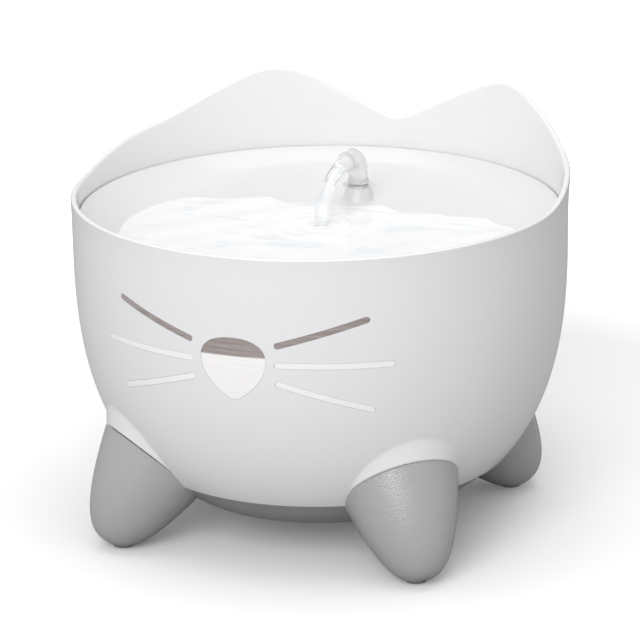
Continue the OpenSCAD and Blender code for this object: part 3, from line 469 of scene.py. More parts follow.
def lathe(name, path, paint, columns=192, centre=(0, 0), sharp=40.0):
    """Solid of revolution from a path of (radius, height), whose last ring joins the first.

    Where the path starts and ends on the axis, the merge shrinks those rings to points.
    """
    path = np.array(path, float)
    angles = np.linspace(0, 2 * np.pi, columns, endpoint=False)
    points = [(centre[0] + r * math.sin(a), centre[1] - r * math.cos(a), z) for r, z in path for a in angles]
    piece = add_piece(name, points, ring_faces(len(path), columns), paint, sharp)
    merge(piece)
    return piece


def boolean(piece, tool, how):
    """Cut the piece with the tool, keep the result as its mesh and remove the tool."""
    change = piece.modifiers.new("cut", "BOOLEAN")
    change.operation = how
    change.solver = "EXACT"
    change.object = tool
    bpy.context.view_layer.update()
    shaped = piece.evaluated_get(bpy.context.evaluated_depsgraph_get())
    fresh = bpy.data.meshes.new_from_object(shaped)
    piece.modifiers.clear()
    piece.data = fresh
    bpy.data.objects.remove(tool)


print("points merge within", MERGE / MM, "mm")

# %% [markdown]
# A cut leaves large faces next to small ones, and plain smooth shading would bend the light
# round them. A finer mesh would only make the marks smaller. The true direction of the moulded
# surface is known from its formula, so it is written onto every corner that lies on that surface.
# The shell needs this most, because the windows cut its widest, glossiest face.

# %% True surface directions
ON_SURFACE = 0.25  # how near to the wall a corner lies on it
SLOPE_STEP = 0.05  # height step that gives the slope
SEAM_ANGLE = 35  # degrees between faces that make an edge sharp
SAME_WAY = 0.75  # least cosine between the formula's direction and the face's


def true_normals(piece, direction):
    """direction(points) gives unit directions, and zero rows where the surface isn't the formula's."""
    data = piece.data
    shade(data, SEAM_ANGLE)
    corners = np.empty(len(data.loops), np.int32)
    data.loops.foreach_get("vertex_index", corners)
    points = np.empty(len(data.vertices) * 3)
    data.vertices.foreach_get("co", points)
    wanted = direction(points.reshape(-1, 3) / MM)
    flat = np.repeat([f.normal for f in data.polygons], [f.loop_total for f in data.polygons], axis=0)
    custom = wanted[corners]
    custom[(custom * flat).sum(1) < SAME_WAY] = 0
    data.normals_split_custom_set(custom.tolist())
    print(piece.name, "corners with a true direction:", int((custom != 0).any(1).sum()))


def body_direction(points):
    """Directions square to the outside of the tank's wall."""
    x, y, z = points.T
    r = np.maximum(np.hypot(x, y), 1e-9)
    rise = body_radius(z + SLOPE_STEP) - body_radius(z - SLOPE_STEP)
    n = np.stack([x / r, y / r, -rise / (2 * SLOPE_STEP)], 1)
    n /= np.linalg.norm(n, axis=1)[:, None]
    return n * (np.abs(r - body_radius(z)) < ON_SURFACE)[:, None]


print("a corner is on the wall within", ON_SURFACE, "mm")

# %% [markdown]
# ## Outer shell
# The shell is one moulding: wall, rim with a rounded lip, ear points, a ledge for the dish and
# the tank floor. It could be a screw modifier on a curve, but its rim rises and falls, so each
# column of points follows its own path: up the outside, over the lip and down the inside.

# %% Shell wall
SHELL_COLUMNS = 320
LEDGE_Z = 148.2  # top of the ledge that carries the dish
LEDGE_R = 113.7
LEDGE_H = 2.7
TANK_FLOOR_Z = 41.0
FLOOR_UNDER_Z = 38.0  # underside of the tank's floor
OUTSIDE_END, INSIDE_END = 45.08, 41.2  # degrees along the belly's curve


def belly_heights(depth, degrees):
    """Heights on a belly of this depth, at even steps of its curve."""
    return [WIDEST_Z - depth * math.sin(a) ** (2 / BELLY_POWER) for a in np.radians(degrees)]


def shell_column(rim):
    """Path of (radius, height) for one place round the wall, from under the floor to the tank floor."""
    lip = SHELL_WALL / 2 - 0.05
    belly = belly_heights(BELLY_DEPTH, np.linspace(OUTSIDE_END, 0, 22))
    belly[0] = SHELL_BOTTOM_Z
    upper = list(np.linspace(WIDEST_Z, rim - lip, 16))[1:]
    path = [(ON_AXIS, FLOOR_UNDER_Z), (float(body_radius(FLOOR_UNDER_Z, SHELL_WALL)), FLOOR_UNDER_Z),
            (float(body_radius(SHELL_BOTTOM_Z, SHELL_WALL)), SHELL_BOTTOM_Z)]
    path += [(float(body_radius(z)), z) for z in belly + upper]
    top_r = float(body_radius(rim - lip)) - SHELL_WALL / 2
    for a in np.linspace(0, np.pi, 9)[1:-1]:
        path.append((top_r + SHELL_WALL / 2 * math.cos(a), rim - lip + lip * math.sin(a)))
    path += [(float(body_radius(z)) - SHELL_WALL, z) for z in np.linspace(rim - lip, LEDGE_Z, 12)]
    path += [(LEDGE_R, LEDGE_Z), (LEDGE_R, LEDGE_Z - LEDGE_H)]
    low = belly_heights(BELLY_DEPTH - SHELL_WALL, np.linspace(0.5, INSIDE_END, 14))
    path += [(float(body_radius(z, SHELL_WALL)), z) for z in [LEDGE_Z - LEDGE_H] + low]
    floor_r = float(body_radius(TANK_FLOOR_Z, SHELL_WALL))
    path += [(float(body_radius(TANK_FLOOR_Z + 4, SHELL_WALL)), TANK_FLOOR_Z + 4),
             (floor_r - 3, TANK_FLOOR_Z + 0.6), (floor_r - 6, TANK_FLOOR_Z), (ON_AXIS, TANK_FLOOR_Z)]
    return path


def make_shell():
    angles = np.linspace(0, 2 * np.pi, SHELL_COLUMNS, endpoint=False)
    columns = [shell_column(float(rim_height(a))) for a in angles]
    rows = len(columns[0])
    points = []
    for i in range(rows):
        for a, column in zip(angles, columns):
            r, z = column[i]
            points.append((r * math.sin(a), -r * math.cos(a), z))
    shell = add_piece("shell", points, grid_faces(rows, SHELL_COLUMNS), shell_white)
    merge(shell, SHELL_MERGE)
    return shell


shell = make_shell()
print("shell faces:", len(shell.data.polygons))

# %% [markdown]
# ## Windows of the water gauge
# A nose and six whiskers are cut through the wall, and a clear part behind fills them flush. They
# could be painted on, but a real slot has an edge that catches the light. Each outline is drawn
# flat in front of the wall, at the middle of its window, and pushed straight through the wall.

# %% Window outlines
WHISKER_W = 3.1
# Inner and outer azimuth in degrees, and the heights of those two ends.
WHISKERS = [(10.3, 29.9, 122.6, 134.6), (10.3, 35.6, 113.1, 112.4), (10.3, 31.1, 103.7, 90.3)]
NOSE_W = 31.8
NOSE_Z = 114.5  # where the nose is widest
NOSE_UP = 10.8  # from there to its top
NOSE_DOWN = 20.0  # from there to its tip
NOSE_POWER = 2.3  # 2 would make the top a half ellipse
NOSE_TIP_SOFT = 0.006  # rounds the tip


def nose_outline(grow):
    half = NOSE_W / 2 + grow
    over = [(half * math.cos(a), NOSE_Z + (NOSE_UP + grow)
             * (1 - abs(math.cos(a)) ** NOSE_POWER) ** (1 / NOSE_POWER)) for a in np.linspace(0, np.pi, 41)]
    under = []
    for t in np.linspace(-1, 1, 41)[1:-1]:
        tip = math.sqrt(t * t + NOSE_TIP_SOFT) - math.sqrt(NOSE_TIP_SOFT) * (1 - abs(t))
        under.append((half * t * (2 - abs(t)), NOSE_Z - (NOSE_DOWN + grow) * (1 - tip)))
    return over + under


def bar_outline(start, end, width, steps=10):
    (x0, z0), (x1, z1) = start, end
    a = math.atan2(z1 - z0, x1 - x0)
    turn = np.linspace(-np.pi / 2, np.pi / 2, steps)
    return ([(x1 + width / 2 * math.cos(a + t), z1 + width / 2 * math.sin(a + t)) for t in turn]
            + [(x0 - width / 2 * math.cos(a + t), z0 - width / 2 * math.sin(a + t)) for t in turn])


def window_outlines(grow):
    """Each window as (azimuth, middle height, outline points across and up)."""
    found = [(0.0, NOSE_Z, nose_outline(grow))]
    for side in (-1, 1):
        for inner, outer, z0, z1 in WHISKERS:
            middle_z = (z0 + z1) / 2
            half = float(body_radius(np.array(middle_z))) * math.sin(math.radians(outer - inner) / 2)
            outline = bar_outline((-side * half, z0), (side * half, z1), WHISKER_W + 2 * grow)
            found.append((side * (inner + outer) / 2, middle_z, outline))
    return found


print("windows:", len(window_outlines(0.0)))

# %% Cut the windows
CUT_OUT = 8  # reach of the cutter outside the wall
CUT_IN = 12  # and inside it


def window_cutter(grow):
    points, faces = [], []
    for azimuth, middle_z, outline in window_outlines(grow):
        a = math.radians(azimuth)
        reach = float(body_radius(np.array(middle_z)))
        outward, across = np.array((math.sin(a), -math.cos(a))), np.array((math.cos(a), math.sin(a)))
        faces += prism_faces(len(points), len(outline))
        for depth in (reach + CUT_OUT, reach - CUT_IN):
            for u, z in outline:
                x, y = outward * depth + across * u
                points.append((x, y, z))
    cutter = add_piece("cutter", points, faces, shell_white)
    merge(cutter, FINE_MERGE)
    return cutter


boolean(shell, window_cutter(0.0), "DIFFERENCE")
true_normals(shell, body_direction)
print("shell faces after the cut:", len(shell.data.polygons))

# %% [markdown]
# ## Window lens
# The lens is pale milky plastic. Above the water it looks brownish gray with lengthwise streaks,
# and below the water nearly white. Real water behind a real lens would take many light bounces to
# show that, so the finish changes its colour at the waterline instead.

# %% Lens finish
WATERLINE_Z = 116.3
WATERLINE_SOFT = 0.35  # half the height over which the colour changes
STREAK_SCALE = (60, 60, 1100)
DRY_DARK = (0.27, 0.230, 0.222)
DRY_PALE = (0.40, 0.355, 0.345)
WET_DARK = (0.905, 0.88, 0.885)
WET_PALE = (0.945, 0.93, 0.93)


def add_ramp(tree, source, low, high):
    """Colour ramp between two stops of (position, colour)."""
    ramp = add_node(tree, "ValToRGB")
    for stop, (position, color) in zip(ramp.color_ramp.elements, (low, high)):
        stop.position = position
        stop.color = (*color, 1)
    tree.links.new(source, ramp.inputs[0])
    return ramp


def add_stretched_noise(tree, scale, detail, distortion=0.0):
    """Noise that is drawn out by its own scale along each axis."""
    stretch = add_node(tree, "Mapping", {"Scale": scale})
    tree.links.new(tree.nodes["Texture Coordinate"].outputs["Object"], stretch.inputs["Vector"])
    return add_noise(tree, stretch.outputs[0], 1.0, detail, distortion)


def lens_finish():
    paint = moulded("lens_milky", (0.9, 0.9, 0.9), 0.12, grain=0.05, grain_scale=200.0, shade=0.0)
    tree = paint.node_tree
    split = add_node(tree, "SeparateXYZ")
    edge = add_node(tree, "MapRange", {"From Min": (WATERLINE_Z - WATERLINE_SOFT) * MM,
                                       "From Max": (WATERLINE_Z + WATERLINE_SOFT) * MM})
    streak = add_stretched_noise(tree, STREAK_SCALE, 4.0)
    dry = add_ramp(tree, streak.outputs["Fac"], (0.32, DRY_DARK), (0.68, DRY_PALE))
    wet = add_ramp(tree, streak.outputs["Fac"], (0.3, WET_DARK), (0.7, WET_PALE))
    pick = add_node(tree, "Mix", data_type="RGBA")
    join(tree, (tree.nodes["Texture Coordinate"].outputs["Object"], split.inputs[0]),
         (split.outputs["Z"], edge.inputs["Value"]), (edge.outputs[0], pick.inputs[0]),
         (wet.outputs[0], pick.inputs[MIX_A]), (dry.outputs[0], pick.inputs[MIX_B]),
         (pick.outputs[MIX_OUT], tree.nodes["Principled BSDF"].inputs["Base Color"]))
    return paint


lens_milky = lens_finish()
plate_milky = moulded("plate_milky", (0.78, 0.77, 0.77), 0.2, grain=0.05, grain_scale=200.0, shade=0.01)
print("lens finishes:", lens_milky.name, plate_milky.name)

# %% [markdown]
# The lens itself fills the slots. Seven small bodies could be built one by one, but a curved band
# that fits the wall, cut down to the slots' outlines a hair smaller, gives them all at once with
# the wall's own curve. A second band behind is the plate that carries them.

# %% Lens
LENS_GAP = 0.12
# Inset of the front and of the back, lowest and highest height, and half the azimuth in degrees.
LENS_BAND = (LENS_GAP, 4.6, 85, 140, 39.5)
PLATE_BAND = (4.15, 6.0, 84.2, 140.8, 39.8)


def make_band(name, front, back, z_low, z_high, half_azimuth, paint, columns, rows):
    angles = np.radians(np.linspace(-half_azimuth, half_azimuth, columns))
    points = []
    for inset in (front, back):
        for z in np.linspace(z_low, z_high, rows):
            r = float(body_radius(z, inset))
            points += [(r * math.sin(a), -r * math.cos(a), z) for a in angles]
    outer = grid_faces(rows, columns, closed=False)
    shift = rows * columns
    faces = outer + [tuple(shift + k for k in reversed(f)) for f in outer]
    edges = [(i * columns + j, (i + 1) * columns + j, j == 0)
             for i in range(rows - 1) for j in (0, columns - 1)]
    edges += [(i * columns + j, i * columns + j + 1, i > 0)
              for j in range(columns - 1) for i in (0, rows - 1)]
    for a, b, flip in edges:
        side = (a, b, b + shift, a + shift)
        faces.append(side[::-1] if flip else side)
    band = add_piece(name, points, faces, paint)
    merge(band, FINE_MERGE)
    return band


lens = make_band("window_lens", *LENS_BAND, lens_milky, columns=120, rows=28)
boolean(lens, window_cutter(-LENS_GAP), "INTERSECT")
shade(lens.data, SEAM_ANGLE)
plate = make_band("lens_plate", *PLATE_BAND, plate_milky, columns=60, rows=14)
print("lens faces:", len(lens.data.polygons))

# %% [markdown]
# ## Leg stubs
# The shell grows a short round stub over each leg. It starts at the flat split from the leg and
# flares towards the wall. A boolean union would meet the wall in a sharp line, but the real stub
# runs into it in a small hollow, so near the wall its points are eased onto it.

# %% Leg frames
LEG_LEN = 45.6  # from the tip to the middle of the split
LEG_TOP_R = 28.3  # radius there
LEG_POWER = 0.39  # 1 would make a plain cone, and 0.5 a paraboloid
LEG_LEAN = 35.4  # degrees off upright
SPLIT_LEAN = 43.5  # degrees by which the split leans
TIP_Z = 3.25
# Azimuth in degrees, and how far out the tip stands.
LEGS = {"leg_front_left": (-43.0, 118.1), "leg_front_right": (43.0, 118.1),
        "leg_rear_left": (-124.5, 105.8), "leg_rear_right": (124.5, 105.8)}


def leg_frame(azimuth, tip_radius):
    """Tip point, unit axis up the leg, unit side direction and unit normal of the split, in mm."""
    a = math.radians(azimuth)
    outward, side = np.array((math.sin(a), -math.cos(a), 0)), np.array((math.cos(a), math.sin(a), 0))
    lean, split = math.radians(LEG_LEAN), math.radians(SPLIT_LEAN)
    tip = outward * tip_radius + np.array((0, 0, TIP_Z))
    axis = -math.sin(lean) * outward + math.cos(lean) * np.array((0, 0, 1))
    normal = -math.sin(split) * outward + math.cos(split) * np.array((0, 0, 1))
    return tip, axis, side, normal


def leg_radius(t):
    return LEG_TOP_R * (max(t, 0) / LEG_LEN) ** LEG_POWER


def cone_point(spec, angle, t):
    """Point of the cone at one angle round it and t along its axis."""
    tip, axis, side, _ = spec
    lift = np.cross(side, axis)
    return tip + axis * t + leg_radius(t) * (math.cos(angle) * lift + math.sin(angle) * side)


def split_distance(spec, angle):
    """How far along the axis the cone meets the split plane, at one angle round it, by halving."""
    tip, axis, side, normal = spec
    centre = tip + axis * LEG_LEN
    low, high = 5.0, LEG_LEN + 30
    for _ in range(40):
        middle = (low + high) / 2
        if np.dot(cone_point(spec, angle, middle) - centre, normal) > 0:
            high = middle
        else:
            low = middle
    return (low + high) / 2


print("legs:", list(LEGS))

# %% Stubs
STUB_FLARE = 0.76  # way outwards for each step away from the split
STUB_PROUD = 0.12  # how far the stub stands out past the leg
STUB_EASE = 0.4  # softens its meeting with the wall
STUB_SINK = 0.1  # how far it ends under the wall
STUB_RISE = 16.0  # how far it runs from the split
STUB_ROOT = 6.0  # reach of its hidden inner edge
STUB_SOFT = 0.4  # width of its soft edge at the split
STUB_START = 0.3  # first row's distance from the split
STUB_SPREAD = 1.2  # over 1, rows crowd at the split
STUB_ROWS = 40
STUB_COLUMNS = 144
HIDE_BAND = 1.0  # points less than this above the shell's lower edge are hidden
HIDE_DEPTH = 2.6  # this deep under the wall


def onto_wall(p):
    """Ease a point of the stub onto the tank's wall, and hide what would lie below the shell's edge."""
    r = math.hypot(p[0], p[1])
    wall = float(body_radius(p[2]))
    excess = r - wall
    eased = (excess + math.sqrt(excess * excess + STUB_EASE ** 2)) / 2 - STUB_SINK
    if p[2] < SHELL_BOTTOM_Z + HIDE_BAND:
        eased = min(eased, -HIDE_DEPTH)
    scale = (wall + eased) / r
    return (p[0] * scale, p[1] * scale, p[2])


def make_stub(name, azimuth, tip_radius):
    spec = leg_frame(azimuth, tip_radius)
    tip, axis, side, normal = spec
    centre = tip + axis * LEG_LEN
    lines = []
    for angle in np.linspace(-np.pi, np.pi, STUB_COLUMNS, endpoint=False):
        edge = cone_point(spec, angle, split_distance(spec, angle))
        away = edge - centre
        away = away - normal * np.dot(away, normal)
        away /= np.linalg.norm(away)
        inner, soft = edge - away * STUB_ROOT, edge - away * STUB_SOFT + 0.02 * normal
        rise = [STUB_START + STUB_RISE * share ** STUB_SPREAD for share in np.linspace(0, 1, STUB_ROWS)]
        edge = edge + away * STUB_PROUD
        flared = [edge + (normal + STUB_FLARE * away) * up for up in rise]
        lines.append([onto_wall(p) for p in [inner, soft] + flared])
    rows = len(lines[0])
    points = [line[i] for i in range(rows) for line in lines]
    return add_piece(name, points, grid_faces(rows, STUB_COLUMNS), shell_white, sharp=50)


stubs = [make_stub(name.replace("leg", "stub"), *spec) for name, spec in LEGS.items()]
print("stub points each:", len(stubs[0].data.vertices))

# %% [markdown]
# ## Legs
# Each leg is a blunt cone, moulded in darker matte plastic. Its outline is the power curve of the
# CAD source, turned about the leaning axis, so a plain cone primitive can't give it. Where the cone
# would enter the pan, its points stop just under the pan's skin, for a clean meeting line.

# %% Legs
PAN_STEP = 1.5  # how far the pan stands back from the shell
PAN_LOW_Z = 16.4
PAN_HIGH_Z = 34.3
SOLE_Z = 1.0  # the legs end flat here
LEG_GAP = 0.22  # between leg and stub
LEG_SINK = 0.35  # how far a leg's points lie under the pan's skin
LEG_EDGE = 0.35  # width of the soft edge at the split
LEG_SPREAD = 1.6  # over 1, rows crowd at the tip
LEG_COLUMNS = 120
LEG_ROWS = 56
CAP_SHARES = (0.9, 0.7, 0.45, 0.2, 1e-4)


def body_skin(z):
    """Radius that a leg's points may not go under, at height z."""
    if z < PAN_LOW_Z:
        return 0.0
    inset = PAN_STEP if z < PAN_HIGH_Z else 0.0
    return float(body_radius(z, inset)) - LEG_SINK


def hug_body(point):
    r = math.hypot(point[0], point[1])
    grow = max(1.0, body_skin(point[2]) / max(r, 1e-6))
    return (point[0] * grow, point[1] * grow, max(point[2], SOLE_Z))


def make_leg(name, azimuth, tip_radius):
    spec = leg_frame(azimuth, tip_radius)
    tip, axis, side, normal = spec
    centre = tip + axis * LEG_LEN - normal * LEG_GAP
    angles = np.linspace(-np.pi, np.pi, LEG_COLUMNS, endpoint=False)
    ends = [split_distance(spec, angle) - LEG_GAP for angle in angles]
    points = []
    for share in np.linspace(0, 1, LEG_ROWS) ** LEG_SPREAD:
        points += [cone_point(spec, angle, max(1e-3, share * end)) for angle, end in zip(angles, ends)]
    rim = points[-LEG_COLUMNS:]
    soft = [centre + (p - centre) * (1 - LEG_EDGE / np.linalg.norm(p - centre)) for p in rim]
    points[-LEG_COLUMNS:] = [p - axis * LEG_EDGE for p in rim]
    points += [p - normal * np.dot(p - centre, normal) for p in soft]
    for share in CAP_SHARES:
        points += [centre + (p - centre) * share for p in soft]
    points = [hug_body(p) for p in points]
    leg = add_piece(name, points, grid_faces(len(points) // LEG_COLUMNS, LEG_COLUMNS), leg_gray, sharp=55)
    merge(leg)
    return leg


legs = {name: make_leg("cone_" + name, *spec) for name, spec in LEGS.items()}
print("leg faces each:", len(legs["leg_front_left"].data.polygons))

# %% [markdown]
# ## Base pan
# The pan closes the tank from below. It is a shallow turned bowl, so it is a lathe piece. The
# recesses for the four screws and the opening for the power inlet aren't round about the same
# axis, so they are cut out of it.

# %% Base pan
SCREW_CIRCLE = 60.0
SCREW_AZIMUTHS = (45, 135, 225, 315)
HEAD_R = 3.1  # recess for a screw's head
HEAD_DEEP = 2.4  # its depth
HOLE_R = 1.6  # hole for the screw
PAN_WALL = 2.5
TONGUE_T = 2.2  # tongue that plugs into the shell
TONGUE_TOP_Z = 36.4
TONGUE_GAP = 0.3
INLET_W = 13.4
INLET_H = 7.4
INLET_Y = 78.6
INLET_Z = 26.0
BELOW_PAN_Z = 10


def pan_outline(inset, low, high, steps):
    return [(float(body_radius(z, inset)), z) for z in np.linspace(low, high, steps)]


def screw_recess(azimuth):
    a = math.radians(azimuth)
    seat_z, top_z = PAN_LOW_Z + HEAD_DEEP, PAN_LOW_Z + PAN_WALL + 3
    path = [(ON_AXIS, BELOW_PAN_Z), (HEAD_R, BELOW_PAN_Z), (HEAD_R, seat_z), (HOLE_R, seat_z),
            (HOLE_R, top_z), (ON_AXIS, top_z)]
    return lathe("cutter", path, pan_gray, columns=40,
                 centre=(SCREW_CIRCLE * math.sin(a), -SCREW_CIRCLE * math.cos(a)))


def inlet_opening():
    half = (INLET_W - INLET_H) / 2
    outline = bar_outline((-half, INLET_Z), (half, INLET_Z), INLET_H)
    points = [(x, y, z) for y in (INLET_Y - 4, INLET_Y + 20) for x, z in outline]
    cutter = add_piece("cutter", points, prism_faces(0, len(outline)), pan_gray)
    merge(cutter, FINE_MERGE)
    return cutter


def make_pan():
    tongue_r = float(body_radius(SHELL_BOTTOM_Z, SHELL_WALL)) - TONGUE_GAP
    floor_z = PAN_LOW_Z + PAN_WALL
    edge_r = float(body_radius(PAN_LOW_Z, PAN_STEP))
    path = [(ON_AXIS, PAN_LOW_Z), (edge_r - 1.4, PAN_LOW_Z), (edge_r - 0.4, PAN_LOW_Z + 0.15)]
    path += pan_outline(PAN_STEP, PAN_LOW_Z + 0.9, PAN_HIGH_Z, 24)
    path += [(tongue_r, PAN_HIGH_Z), (tongue_r, TONGUE_TOP_Z), (tongue_r - TONGUE_T, TONGUE_TOP_Z),
             (tongue_r - TONGUE_T, PAN_HIGH_Z - PAN_WALL)]
    path += pan_outline(PAN_STEP + PAN_WALL, floor_z, PAN_HIGH_Z - PAN_WALL, 8)[::-1]
    pan = lathe("pan", path + [(ON_AXIS, floor_z)], pan_gray, columns=240, sharp=50)
    for azimuth in SCREW_AZIMUTHS:
        boolean(pan, screw_recess(azimuth), "DIFFERENCE")
    boolean(pan, inlet_opening(), "DIFFERENCE")
    shade(pan.data, SEAM_ANGLE)
    return pan


pan = make_pan()
print("pan faces:", len(pan.data.polygons))

# %% [markdown]
# ## Drinking dish
# The dish lies in the rim. Its side slopes in like a wide cone, and its floor tilts down to the
# front, so the water runs away from the pedestal. A lathe can't tilt a floor. So two simple
# surfaces, a cone and a tilted plane, are joined with a soft maximum, which rounds the line between
# them as a mould does. The pedestal, its socket below and the overflow drain are turned pieces.

# %% Dish surfaces
DISH_R = 116.7
DISH_TOP_Z = 154.5
DISH_LIP = 1.6  # width of the flat lip
DISH_SLOPE = 0.75  # rise of the side for each mm outwards
DISH_WALL = 2.4
DISH_SKIRT = 6.0  # height of the outer edge
DISH_FLOOR_Z = 143.7  # floor at the spout
DISH_TILT = 3.3  # degrees
SPOUT_Y = 56.5
DRAIN_Y = -78.0
DRAIN_R = 10.0
DRAIN_RIM_Z = 142.5
DISH_SOFT = 5.0  # rounds the line between side and floor
DISH_COLUMNS = 256
CORNER_R = 100  # beyond this radius the rounding fades
CORNER_LEN = 15  # within this length
UNDER_TOP = 3.2  # least distance of the underside from the top
SHAFTS = (((0, SPOUT_Y), 6.0), ((0, DRAIN_Y), DRAIN_R + 0.6))


def floor_height(y):
    return DISH_FLOOR_Z - (SPOUT_Y - y) * math.tan(math.radians(DISH_TILT))


def dish_height(x, y, drop_floor=0.0, drop_wall=0.0, soft=DISH_SOFT):
    wall = DISH_TOP_Z - (DISH_R - DISH_LIP - math.hypot(x, y)) * DISH_SLOPE - drop_wall
    floor = floor_height(y) - drop_floor
    return (wall + floor + math.sqrt((wall - floor) ** 2 + soft * soft)) / 2


def upper_height(x, y):
    """Upper side, whose soft maximum fades to the plain one towards the lip."""
    ease = np.clip((math.hypot(x, y) - CORNER_R) / CORNER_LEN, 0, 1)
    return dish_height(x, y) * (1 - ease) + dish_height(x, y, soft=0.01) * ease


def under_height(x, y):
    return min(dish_height(x, y, DISH_WALL, DISH_WALL / 0.8, soft=1.0), DISH_TOP_Z - UNDER_TOP)


def dish_rows():
    """Radii with a height or a height rule: upper side outwards, over the lip, underside inwards."""
    mouth = DISH_R - DISH_LIP
    upper = [(max(r, ON_AXIS), upper_height)
             for r in list(np.linspace(0, 75, 16)) + list(np.linspace(78, mouth - 1.2, 22))]
    lip = [(mouth - 0.5, DISH_TOP_Z - 0.42), (mouth - 0.05, DISH_TOP_Z - 0.12), (mouth + 0.35, DISH_TOP_Z),
           (DISH_R - 0.35, DISH_TOP_Z), (DISH_R - 0.08, DISH_TOP_Z - 0.1), (DISH_R, DISH_TOP_Z - 0.4),
           (DISH_R, DISH_TOP_Z - DISH_SKIRT), (DISH_R - DISH_WALL, DISH_TOP_Z - DISH_SKIRT)]
    inwards = list(np.linspace(DISH_R - DISH_WALL, 78, 14)) + list(np.linspace(70, ON_AXIS, 8))
    return upper + lip + [(r, under_height) for r in inwards]


def make_bowl():
    rows = dish_rows()
    points = []
    for r, height in rows:
        for a in np.linspace(0, 2 * np.pi, DISH_COLUMNS, endpoint=False):
            x, y = r * math.sin(a), -r * math.cos(a)
            points.append((x, y, height(x, y) if callable(height) else height))
    bowl = add_piece("dish", points, grid_faces(len(rows), DISH_COLUMNS), dish_white, sharp=50)
    merge(bowl, DISH_MERGE)
    for place, radius in SHAFTS:
        shaft = lathe("cutter", [(ON_AXIS, 100), (radius, 100), (radius, 170), (ON_AXIS, 170)], dish_white,
                      columns=64, centre=place)
        boolean(bowl, shaft, "DIFFERENCE")
    shade(bowl.data, 50)
    return bowl


bowl = make_bowl()
print("dish faces:", len(bowl.data.polygons))

# %% Pedestal, socket and drain
PEDESTAL_TOP_Z = 150.3
PEDESTAL_TOP_R = 6.3
BORE_R = 5.0
SOCKET_LOW_Z = 112.0
SOCKET_IN_R = 8.6
SOCKET_OUT_R = 10.4
DRAIN_LOW_Z = 128.6
SPOKE_AZIMUTHS = (0, 60, 120)
SPOKE_HALF = 0.8
SPOKE_H = 2.4
SPOKE_DROP = 0.6


def make_pedestal():
    foot, top = DISH_FLOOR_Z, PEDESTAL_TOP_Z
    path = [(BORE_R, foot - 2.4), (8.8, foot - 1.6), (8.0, foot - 0.5), (7.5, foot + 0.5), (7.2, foot + 1.6),
            (PEDESTAL_TOP_R, top - 0.35), (PEDESTAL_TOP_R - 0.3, top), (BORE_R, top)]
    return lathe("dish_pedestal", path + [path[0]], dish_white, columns=96, centre=(0, SPOUT_Y), sharp=45)


def make_socket():
    top, bore = DISH_FLOOR_Z - 2.0, BORE_R + 0.4
    path = [(SOCKET_OUT_R, top), (SOCKET_OUT_R, SOCKET_LOW_Z + 0.5), (SOCKET_OUT_R - 0.4, SOCKET_LOW_Z),
            (SOCKET_IN_R + 0.4, SOCKET_LOW_Z), (SOCKET_IN_R, SOCKET_LOW_Z + 0.5), (SOCKET_IN_R, top - 4),
            (bore, top - 4), (bore, top)]
    return lathe("dish_socket", path + [path[0]], dish_white, columns=96, centre=(0, SPOUT_Y), sharp=45)


def make_drain():
    """Raised overflow rim with six spokes, in front of the middle of the dish."""
    wall, top = DRAIN_R + DISH_WALL, DRAIN_RIM_Z
    path = [(DRAIN_R, DRAIN_LOW_Z), (wall, DRAIN_LOW_Z), (wall, top - 0.9), (wall - 0.5, top - 0.15),
            (DRAIN_R + 0.5, top), (DRAIN_R, top - 0.5)]
    ring = lathe("dish_drain", path + [path[0]], dish_white, columns=96, centre=(0, DRAIN_Y), sharp=60)
    points, faces = [], []
    for azimuth in SPOKE_AZIMUTHS:
        a = math.radians(azimuth)
        along, across = np.array((math.cos(a), math.sin(a))), np.array((-math.sin(a), math.cos(a)))
        faces += prism_faces(len(points), 4)
        for z in (top - SPOKE_DROP, top - SPOKE_DROP - SPOKE_H):
            for end, side in ((-1, -1), (1, -1), (1, 1), (-1, 1)):
                x, y = along * end * (DRAIN_R + 1) + across * side * SPOKE_HALF
                points.append((x, y + DRAIN_Y, z))
    return [ring, add_piece("dish_drain_spokes", points, faces, dish_white)]


dish_pieces = [bowl, make_pedestal(), make_socket()] + make_drain()
print("dish pieces:", [piece.name for piece in dish_pieces])

# %% [markdown]
# ## Collar and spout
# The collar is a clear turned cup whose spigot plugs into the pedestal. The spout is a clear tube
# with one tight quarter bend. A curve with a round bevel would give its outside, but not its bore.
# So rings of points are carried along the middle line, outside from foot to nozzle and back along
# the bore, and the wall has a real thickness that bends light.

# %% Swept pieces
SPOUT_TURN = 3.0
turn = math.radians(SPOUT_TURN)
SWEEP_SIDE = np.array((math.cos(turn), -math.sin(turn), 0.0))
SPOUT_WAY = np.array((-math.sin(turn), -math.cos(turn)))


def sweep(name, line, rings, paint, faces_of, columns, sharp=60.0):
    """A skin of rings round a line in mm. Each ring is (point of the line, radius)."""
    line = np.array(line, float)
    ways = np.gradient(line, axis=0)
    points = []
    for i, radius in rings:
        lift = np.cross(ways[i] / np.linalg.norm(ways[i]), SWEEP_SIDE)
        for a in np.linspace(0, 2 * np.pi, columns, endpoint=False):
            points.append(line[i] + radius * (math.cos(a) * SWEEP_SIDE + math.sin(a) * lift))
    piece = add_piece(name, points, faces_of(len(rings), columns), paint, sharp)
    merge(piece, FINE_MERGE)
    return piece


print("the spout points", SPOUT_TURN, "degrees to the left, seen from the front")

# %% Spout and collar
SPOUT_R = 5.0
SPOUT_BORE_R = 3.7
ARCH_R = 9.5  # bend of the spout's middle line
ARCH_TOP_Z = 166.4
NOZZLE_LEN = 8.0
SPOUT_FOOT_Z = 151.6  # lower end of the tube
SPOUT_END_ROUND = 0.5
SPOUT_BORE_ROUND = 0.3
SPIGOT_LOW_Z = 137.35
COLLAR_LOW_Z = 150.35
CUP_Z = 151.55  # the tube's seat
COLLAR_TOP_Z = 153.45
COLLAR_BORE_R = 3.4
SPIGOT_R = 4.9
FLANGE_R = 7.8
CUP_R = 5.08  # round the tube


